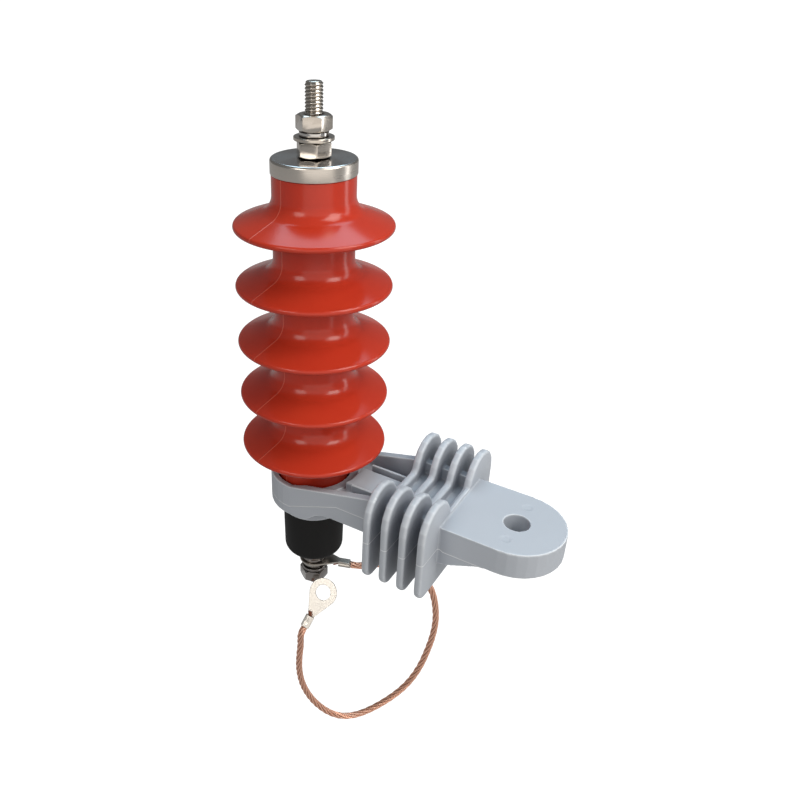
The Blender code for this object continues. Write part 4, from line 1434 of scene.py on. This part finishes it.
@dataclass
class RingLug:
    """A tinned ring lug: a flat eye, a neck and a crimped barrel under it, with the strands' cut ends."""

    eye_radius: float = 9.8 * MM
    hole_radius: float = 5.25 * MM
    thick: float = 1.4 * MM
    neck: float = 4.8 * MM
    barrel_start: float = 18.0 * MM
    barrel_end: float = 26.4 * MM
    half_width: float = 3.2 * MM
    half_height: float = 2.1 * MM
    barrel_wall: float = 0.8 * MM
    barrel_rows: int = 28
    barrel_around: int = 48
    neck_inside: float = 0.6 * MM
    crimp_at: float = 0.52
    crimp_length: float = 0.2
    crimp_depth: float = 0.14
    groove_depth: float = 0.3 * MM
    groove_width: float = 0.22
    wire_radius: float = 0.26 * MM
    wire_gap: float = 0.1 * MM
    wire_inside: float = 0.8 * MM
    strand_show: float = 4.2 * MM
    strand_side: float = 0.0
    strand_sag: float = 0.0
    voxel: float = 0.22 * MM
    smooth_rounds: int = 3

    def outline(self) -> list[Point]:
        """Give the flat outline of the eye and neck.

        Returns:
            The points.
        """
        half = self.neck / 2
        touch = math.acos((self.eye_radius - half) / self.barrel_start)
        eye = arc((0.0, 0.0), self.eye_radius, touch, math.tau - touch, 72)
        tail = self.barrel_end - self.neck_inside
        return [(tail, -half), (tail, half), (self.barrel_start, half), *eye, (self.barrel_start, -half)]

    def build(self, name: str, matrix: Matrix) -> bpy.types.Object:
        """Build the lug.

        Args:
            name: The piece's name.
            matrix: Places the eye's centre and turns +X towards the barrel.

        Returns:
            The lug.
        """
        plate = self._plate(name)
        boolean(plate, self._barrel(name + "_barrel"), Operation.UNION)
        remesh(plate, self.voxel, self.smooth_rounds)
        plate.data.transform(matrix)
        plate.data.shade_smooth()
        return plate

    def _plate(self, name: str) -> bpy.types.Object:
        """Extrude the eye and neck.

        Args:
            name: The plate's name.

        Returns:
            The plate.
        """
        curve = bpy.data.curves.new(name, "CURVE")
        curve.dimensions = "2D"
        curve.fill_mode = "BOTH"
        curve.extrude = self.thick / 2
        hole = arc((0.0, 0.0), self.hole_radius, 0.0, math.tau, 64)[:-1]
        for points in (self.outline(), hole):
            spline = curve.splines.new("POLY")
            spline.points.add(len(points) - 1)
            for point, (x, y) in zip(spline.points, points):
                point.co = (x, y, 0.0, 1.0)
            spline.use_cyclic_u = True
        drawn = placed(name + "_drawn", curve)
        mesh = evaluated(drawn)
        bpy.data.objects.remove(drawn, do_unlink=True)
        clean(mesh, MERGE)
        return placed(name, mesh)

    def _barrel(self, name: str) -> bpy.types.Object:
        """Roll the crimp barrel: an oval tube with a crimped waist and a seam groove below.

        Args:
            name: The barrel's name.

        Returns:
            The barrel.
        """
        length = self.barrel_end - self.barrel_start
        around = self.barrel_around
        shares = [row / self.barrel_rows for row in range(self.barrel_rows + 1)]
        section = [(share, False) for share in shares] + [(share, True) for share in reversed(shares)]
        verts: list[Vector] = []
        for share, inner in section:
            crimp = self.crimp_depth * math.exp(-((share - self.crimp_at) / self.crimp_length) ** 2)
            wall = self.barrel_wall if inner else 0.0
            for step in range(around):
                angle = math.tau * step / around
                squeeze = 1.0 - crimp * max(0.0, -math.cos(angle)) ** 2
                groove = 0.0 if inner else self.groove(angle)
                verts.append(Vector((
                    self.barrel_start + length * share,
                    (self.half_width - wall) * math.sin(angle),
                    (self.half_height - wall - groove) * squeeze * math.cos(angle) - self.half_height)))
        faces: list[tuple[int, ...]] = []
        for row in range(len(section)):
            faces += band(row * around, (row + 1) % len(section) * around, around)
        item = mesh_piece(name, verts, faces)
        clean(item.data)
        return item

    def groove(self, angle: float) -> float:
        """Give the depth of the seam's groove at an angle from the barrel's top."""
        return self.groove_depth * math.exp(-((angle - math.pi) / self.groove_width) ** 2)

    def strand_ends(self, name: str, matrix: Matrix, seed: int) -> bpy.types.Object:
        """Build the short cut ends of the strands that show between barrel and eye.

        Args:
            name: The piece's name.
            matrix: The lug's matrix.
            seed: Seeds the lengths of the ends.

        Returns:
            The strands.
        """
        rng = random.Random(seed)
        inside = self.half_height - self.barrel_wall
        widen = (self.half_width - self.barrel_wall) / inside
        wires = WireBundle(inside - self.wire_gap, self.wire_radius)
        far = self.barrel_end - self.wire_inside
        verts: list[Vector] = []
        faces: list[tuple[int, ...]] = []
        for across, up in wires.centres():
            reach = self.strand_show * rng.uniform(0.7, 1.0)
            lean = rng.uniform(0.9, 1.15)
            start = Vector((self.barrel_start - reach, across * widen * lean + self.strand_side,
                            up * lean - self.half_height - self.strand_sag))
            near = Vector((self.barrel_start, across * widen, up - self.half_height))
            end = Vector((far, across * widen, up - self.half_height))
            tube_between(verts, faces, [start, near, end], self.wire_radius, 8)
        item = mesh_piece(name, verts, faces)
        item.data.transform(matrix)
        return item


@dataclass
class WireBundle:
    """Round wires packed in a circle."""

    radius: float
    wire_radius: float
    ring_turn: float = 0.2

    def centres(self) -> list[Point]:
        """Give the wires' centres in the bundle's section, in rings round a middle wire.

        Returns:
            The centres.
        """
        points: list[Point] = [(0.0, 0.0)]
        ring = 1
        while ring * 2 * self.wire_radius + self.wire_radius <= self.radius:
            reach = ring * 2 * self.wire_radius
            count = 6 * ring
            for step in range(count):
                angle = math.tau * step / count + ring * self.ring_turn
                points.append((reach * math.cos(angle), reach * math.sin(angle)))
            ring += 1
        return points


def tube_between(verts: list[Vector], faces: list[tuple[int, ...]], path: list[Vector],
                 radius: float, sides: int) -> None:
    """Add a closed tube along a path to lists of vertices and faces.

    Args:
        verts: The vertices so far.
        faces: The faces so far.
        path: The tube's centreline.
        radius: Its radius.
        sides: How many sides it has.
    """
    first = len(verts)
    side = Vector((0.0, 0.0, 1.0))
    count = len(path)
    for index, point in enumerate(path):
        ahead = path[min(index + 1, count - 1)] - path[max(index - 1, 0)]
        ahead.normalize()
        side = side - ahead * side.dot(ahead)
        if side.length < 1e-6:
            side = ahead.orthogonal()
        side.normalize()
        other = ahead.cross(side)
        for step in range(sides):
            angle = math.tau * step / sides
            verts.append(point + side * (radius * math.cos(angle)) + other * (radius * math.sin(angle)))
    for row in range(count - 1):
        faces += band(first + row * sides, first + (row + 1) * sides, sides)
    faces.append(tuple(first + step for step in reversed(range(sides))))
    faces.append(tuple(first + (count - 1) * sides + step for step in range(sides)))


@dataclass
class EarthTerminal:
    """The stud, nuts, washers and lug below the disconnector."""

    axis_x: float
    lug_turn: float = math.radians(19.6)
    nut_turn: float = math.radians(26.4)
    head_radius: float = 12.5 * MM
    head_depth: float = 4.0 * MM
    head_gap: float = 0.2 * MM
    washer: FlatWasher = FlatWasher(outer=8.4 * MM, rounding=0.3 * MM)
    # Darker copies of the steels for the hardware under the cup: painted shade.
    steel: SteelFinish = SteelFinish("earth_steel_in_painted_shade", roughness=0.13, colour=(0.26, 0.24, 0.23))
    spring: SteelFinish = SteelFinish("earth_spring_steel_in_painted_shade", slot="spring_steel",
                                      colour=(0.34, 0.32, 0.30), roughness=0.22)

    def lug_matrix(self) -> Matrix:
        """Give the earth lug's place: its eye's centre, with +X towards its barrel.

        Returns:
            Its matrix.
        """
        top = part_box("earth_lug")[1].z
        matrix = Matrix.Rotation(self.lug_turn, 4, "Z")
        matrix.translation = Vector((self.axis_x, 0.0, top - RingLug().thick / 2))
        return matrix

    def build(self, tin: bpy.types.Material, copper: bpy.types.Material) -> None:
        """Build the stack.

        Args:
            tin: The lug's material.
            copper: The strands' material.
        """
        steel = self.steel.build(self.axis_x)
        low, high = seat_levels("earth_stud")
        stud = ThreadedStud("earth_stud_thread").build(self.axis_x, low, high - self.head_depth,
                                                       False, True)
        profile = [(0.0, -self.head_gap), (self.head_radius, -self.head_gap),
                   (self.head_radius, -self.head_depth), (0.0, -self.head_depth)]
        head = turned("earth_stud_head", profile, self.axis_x, high, 64)
        dress(stud, steel, "stainless_steel", "earth_stud")
        dress(head, steel, "stainless_steel")
        for name, node in (("upper_earth_nut", "earth_jam_nut"), ("lower_earth_nut", "earth_nut")):
            dress(Nut().build(name, node, self.axis_x, self.nut_turn), steel, "stainless_steel", node)
        for name, node in (("upper_earth_washer", "earth_plain_washer"),
                           ("lower_earth_washer", "earth_flat_washer")):
            dress(self.washer.build(name, node, self.axis_x), steel, "stainless_steel", node)
        low, high = seat_levels("earth_spring_washer")
        split = SpringWasher()
        washer = split.build("split_earth_washer", "earth_spring_washer", self.axis_x, 0.0,
                             high - low - split.thick)
        dress(washer, self.spring.build(self.axis_x), "spring_steel", "earth_spring_washer")
        lug = RingLug(strand_side=-1.6 * MM, strand_sag=0.5 * MM)
        matrix = self.lug_matrix()
        dress(lug.build("earth_ring_lug", matrix), tin, "tinned_copper", "earth_lug")
        dress(lug.strand_ends("earth_lug_strands", matrix, 11), copper, "bare_copper")


@dataclass
class EarthLead:
    """The bare stranded lead, which hangs in a loop from the earth lug to the free lug."""

    axis_x: float
    diameter: float = 4.8 * MM
    rope_lay: float = 38.0 * MM
    strand_lay: float = 60.0 * MM
    easing: int = 12
    strands: int = 6
    wires: int = 9
    wire_overlap: float = 1.02
    sides: int = 6
    smooth_angle: float = math.radians(80.0)
    fine_steps: int = 24
    step: float = 1.3 * MM
    straight: float = 0.6
    seat_gap: float = 0.3 * MM
    free_centre: Place = (-0.1063, -0.0121, -0.1076)
    free_heading: float = math.radians(77.0)
    free_elevation: float = math.radians(50.0)
    free_roll: float = math.radians(-22.0)
    route: tuple[Place, ...] = (
        (-0.0866, 0.0142, -0.0926), (-0.0788, 0.0180, -0.0901), (-0.0686, 0.0220, -0.0899),
        (-0.0595, 0.0265, -0.0929), (-0.0527, 0.0305, -0.0984), (-0.0477, 0.0336, -0.1065),
        (-0.0445, 0.0357, -0.1167), (-0.0426, 0.0371, -0.1291), (-0.0418, 0.0375, -0.1416),
        (-0.0425, 0.0366, -0.1553), (-0.0446, 0.0343, -0.1700), (-0.0475, 0.0311, -0.1844),
        (-0.0519, 0.0269, -0.1976), (-0.0580, 0.0213, -0.2089), (-0.0657, 0.0145, -0.2184),
        (-0.0752, 0.0067, -0.2271), (-0.0839, -0.0004, -0.2319), (-0.0924, -0.0070, -0.2321),
        (-0.0999, -0.0135, -0.2258), (-0.1062, -0.0193, -0.2154), (-0.1110, -0.0241, -0.2028),
        (-0.1139, -0.0279, -0.1881), (-0.1145, -0.0305, -0.1724), (-0.1134, -0.0319, -0.1573),
        (-0.1123, -0.0317, -0.1454),
    )

    def free_matrix(self) -> Matrix:
        """Give the free lug's place: its eye's centre, with +X towards its barrel.

        Returns:
            Its matrix.
        """
        flat = math.cos(self.free_elevation)
        forward = -Vector((math.cos(self.free_heading) * flat, math.sin(self.free_heading) * flat,
                           math.sin(self.free_elevation)))
        across = forward.cross(Vector((0.0, 0.0, 1.0))).normalized()
        normal = Matrix.Rotation(self.free_roll, 3, forward) @ forward.cross(across)
        side = normal.cross(forward)
        matrix = Matrix((forward, side, normal)).transposed().to_4x4()
        matrix.translation = Vector(self.free_centre)
        return matrix

    def centreline(self, earth: Matrix, free: Matrix) -> list[Vector]:
        """Give the lead's path at an even, fine spacing.

        Args:
            earth: The earth lug's matrix.
            free: The free lug's matrix.

        Returns:
            The points, from the earth lug's barrel to the free lug's.
        """
        lug = RingLug()
        mouth = Vector((lug.barrel_end + self.seat_gap, 0.0, -lug.half_height))
        start, end = earth @ mouth, free @ mouth
        out = (earth.to_3x3() @ Vector((1.0, 0.0, 0.0))) * self.diameter * self.straight
        back = (free.to_3x3() @ Vector((1.0, 0.0, 0.0))) * self.diameter * self.straight
        points = [start, start + out, start + out * 2]
        points += [Vector(place) for place in self.route]
        points += [end + back * 2, end + back, end]
        padded = [points[0] * 2 - points[1]] + points + [points[-1] * 2 - points[-2]]
        fine: list[Vector] = []
        for before, first, second, after in zip(padded, padded[1:], padded[2:], padded[3:]):
            for step in range(self.fine_steps):
                t = step / self.fine_steps
                fine.append((first * 2 + (second - before) * t
                             + (before * 2 - first * 5 + second * 4 - after) * t * t
                             + (first * 3 - before - second * 3 + after) * t * t * t) / 2)
        fine.append(points[-1])
        return self._even(fine)

    def _even(self, fine: list[Vector]) -> list[Vector]:
        """Space a fine path evenly and ease its bends.

        Args:
            fine: The path's points.

        Returns:
            The even path's points.
        """
        lengths = [0.0]
        for previous, point in zip(fine, fine[1:]):
            lengths.append(lengths[-1] + (point - previous).length)
        count = int(lengths[-1] / self.step)
        even: list[Vector] = []
        index = 0
        for number in range(count + 1):
            goal = lengths[-1] * number / count
            while index < len(lengths) - 2 and lengths[index + 1] < goal:
                index += 1
            span = lengths[index + 1] - lengths[index]
            even.append(fine[index].lerp(fine[index + 1], (goal - lengths[index]) / span))
        for _ in range(self.easing):
            inner = [(a + b * 2 + c) / 4 for a, b, c in zip(even, even[1:], even[2:])]
            even = [even[0]] + inner + [even[-1]]
        return even

    def build(self, earth: Matrix, tin: bpy.types.Material, copper: bpy.types.Material,
              dull: bpy.types.Material) -> None:
        """Build the lead and its free lug.

        Args:
            earth: The earth lug's matrix.
            tin: The lug's material.
            copper: The lead's material.
            dull: The material of the strands' cut ends.
        """
        free = self.free_matrix()
        path = self.centreline(earth, free)
        rope = self._rope(path)
        dress(rope, copper, "bare_copper", "earth_lead")
        lug = RingLug(strand_show=3.0 * MM, strand_side=1.9 * MM)
        free_lug = dress(lug.build("free_ring_lug", free), tin, "tinned_copper", "free_lug")
        ends = dress(lug.strand_ends("free_lug_strands", free, 12), dull, "bare_copper")

    def _rope(self, path: list[Vector]) -> bpy.types.Object:
        """Lay the strands of wires round the path.

        Args:
            path: The lead's centreline.

        Returns:
            The rope.
        """
        strand_radius = self.diameter / 6
        wire_radius = strand_radius / 3
        frames = self._frames(path)
        verts: list[Vector] = []
        faces: list[tuple[int, ...]] = []
        for strand in range(self.strands):
            for wire in range(self.wires):
                line = []
                for index, (point, side, other) in enumerate(frames):
                    travelled = index * self.step
                    a = math.tau * (strand / self.strands + travelled / self.rope_lay)
                    b = math.tau * (wire / self.wires - travelled / self.strand_lay)
                    outward = side * math.cos(a) + other * math.sin(a)
                    tangential = other * math.cos(a) - side * math.sin(a)
                    centre = point + outward * 2 * strand_radius
                    line.append(centre + (outward * math.cos(b) + tangential * math.sin(b)) * 2 * wire_radius)
                tube_between(verts, faces, line, wire_radius * self.wire_overlap, self.sides)
        tube_between(verts, faces, path, strand_radius, 8)
        return mesh_piece("stranded_lead", verts, faces, self.smooth_angle)

    @staticmethod
    def _frames(path: list[Vector]) -> list[tuple[Vector, Vector, Vector]]:
        """Carry a pair of side directions along the path without twist.

        Args:
            path: The lead's centreline.

        Returns:
            Each point with its two side directions.
        """
        frames = []
        side = (path[1] - path[0]).orthogonal().normalized()
        for index, point in enumerate(path):
            ahead = (path[min(index + 1, len(path) - 1)] - path[max(index - 1, 0)]).normalized()
            side = (side - ahead * side.dot(ahead)).normalized()
            frames.append((point, side.copy(), ahead.cross(side)))
        return frames


@dataclass
class HiddenPieces:
    """The pieces inside, which keep their CAD shapes and get their own finishes."""

    nodes: dict[str, bpy.types.Object]

    def build(self, steel: bpy.types.Material, black: bpy.types.Material,
              brass: bpy.types.Material) -> None:
        """Dress each hidden piece.

        Args:
            steel: Material of the base stud and nut.
            black: Material of the disconnector's cover.
            brass: Material of the contact disc and cartridge.
        """
        oxide = DullFinish("sintered_oxide", "zinc_oxide", (0.07, 0.07, 0.08), (0.11, 0.11, 0.12),
                           roughness=0.5, fine_scale=900.0, depth=0.02 * MM).build()
        wanted = {"base_nut": steel, "base_stud": steel, "disconnector_cover": black,
                  "contact_disc": brass, "cartridge": brass, "grading_resistor": oxide}
        for name, material in wanted.items():
            item = self.nodes[name]
            item.data.materials.clear()
            item.data.materials.append(material)
            LOG.info("%s dressed", name)


def main() -> None:
    """Build the sub-assemblies in order."""
    logging.basicConfig(level=logging.INFO, format="%(name)s: %(message)s")
    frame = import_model()
    low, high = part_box("shed_housing")
    axis_x = (low.x + high.x) / 2
    Studio(axis_x).build()
    tin = PlainMetalFinish("tinned_copper", "tinned_copper", (0.95, 0.91, 0.84), (0.90, 0.85, 0.77),
                           roughness=0.34, drift_scale=160.0, metallic=0.5).build()
    # A darker copy of the tin for the earth lug: painted shade for the lug under the black cup, not an older
    # tin.
    shaded_tin = PlainMetalFinish("tin_darkened_for_shade", "tinned_copper", (0.52, 0.49, 0.45), (0.40, 0.37, 0.33),
                               roughness=0.3, drift_scale=160.0).build()
    copper = PlainMetalFinish("bare_copper", "bare_copper", (1.00, 0.61, 0.46), (0.86, 0.37, 0.23),
                              roughness=0.32, drift_scale=260.0, metallic=0.8,
                              crevice_reach=0.6 * MM).build()
    brass = PlainMetalFinish("turned_brass", "brass", (0.74, 0.55, 0.26), (0.62, 0.44, 0.20),
                             roughness=0.3).build()
    dull = PlainMetalFinish("dull_copper", "bare_copper", (0.42, 0.17, 0.10), (0.20, 0.07, 0.04),
                            roughness=0.45, drift_scale=260.0).build()
    earth = EarthTerminal(axis_x)
    EarthLead(axis_x).build(earth.lug_matrix(), tin, copper, dull)
    earth.build(shaded_tin, dull)
    LineTerminal(axis_x).build()
    ShedHousing(axis_x).build()
    black = Disconnector(axis_x).build()
    Bracket(axis_x).build(frame["nodes"]["bracket"])
    steel = SteelFinish("inner_steel", roughness=0.25).build(axis_x)
    HiddenPieces(frame["nodes"]).build(steel, black, brass)


if __name__ == "__main__":
    main()
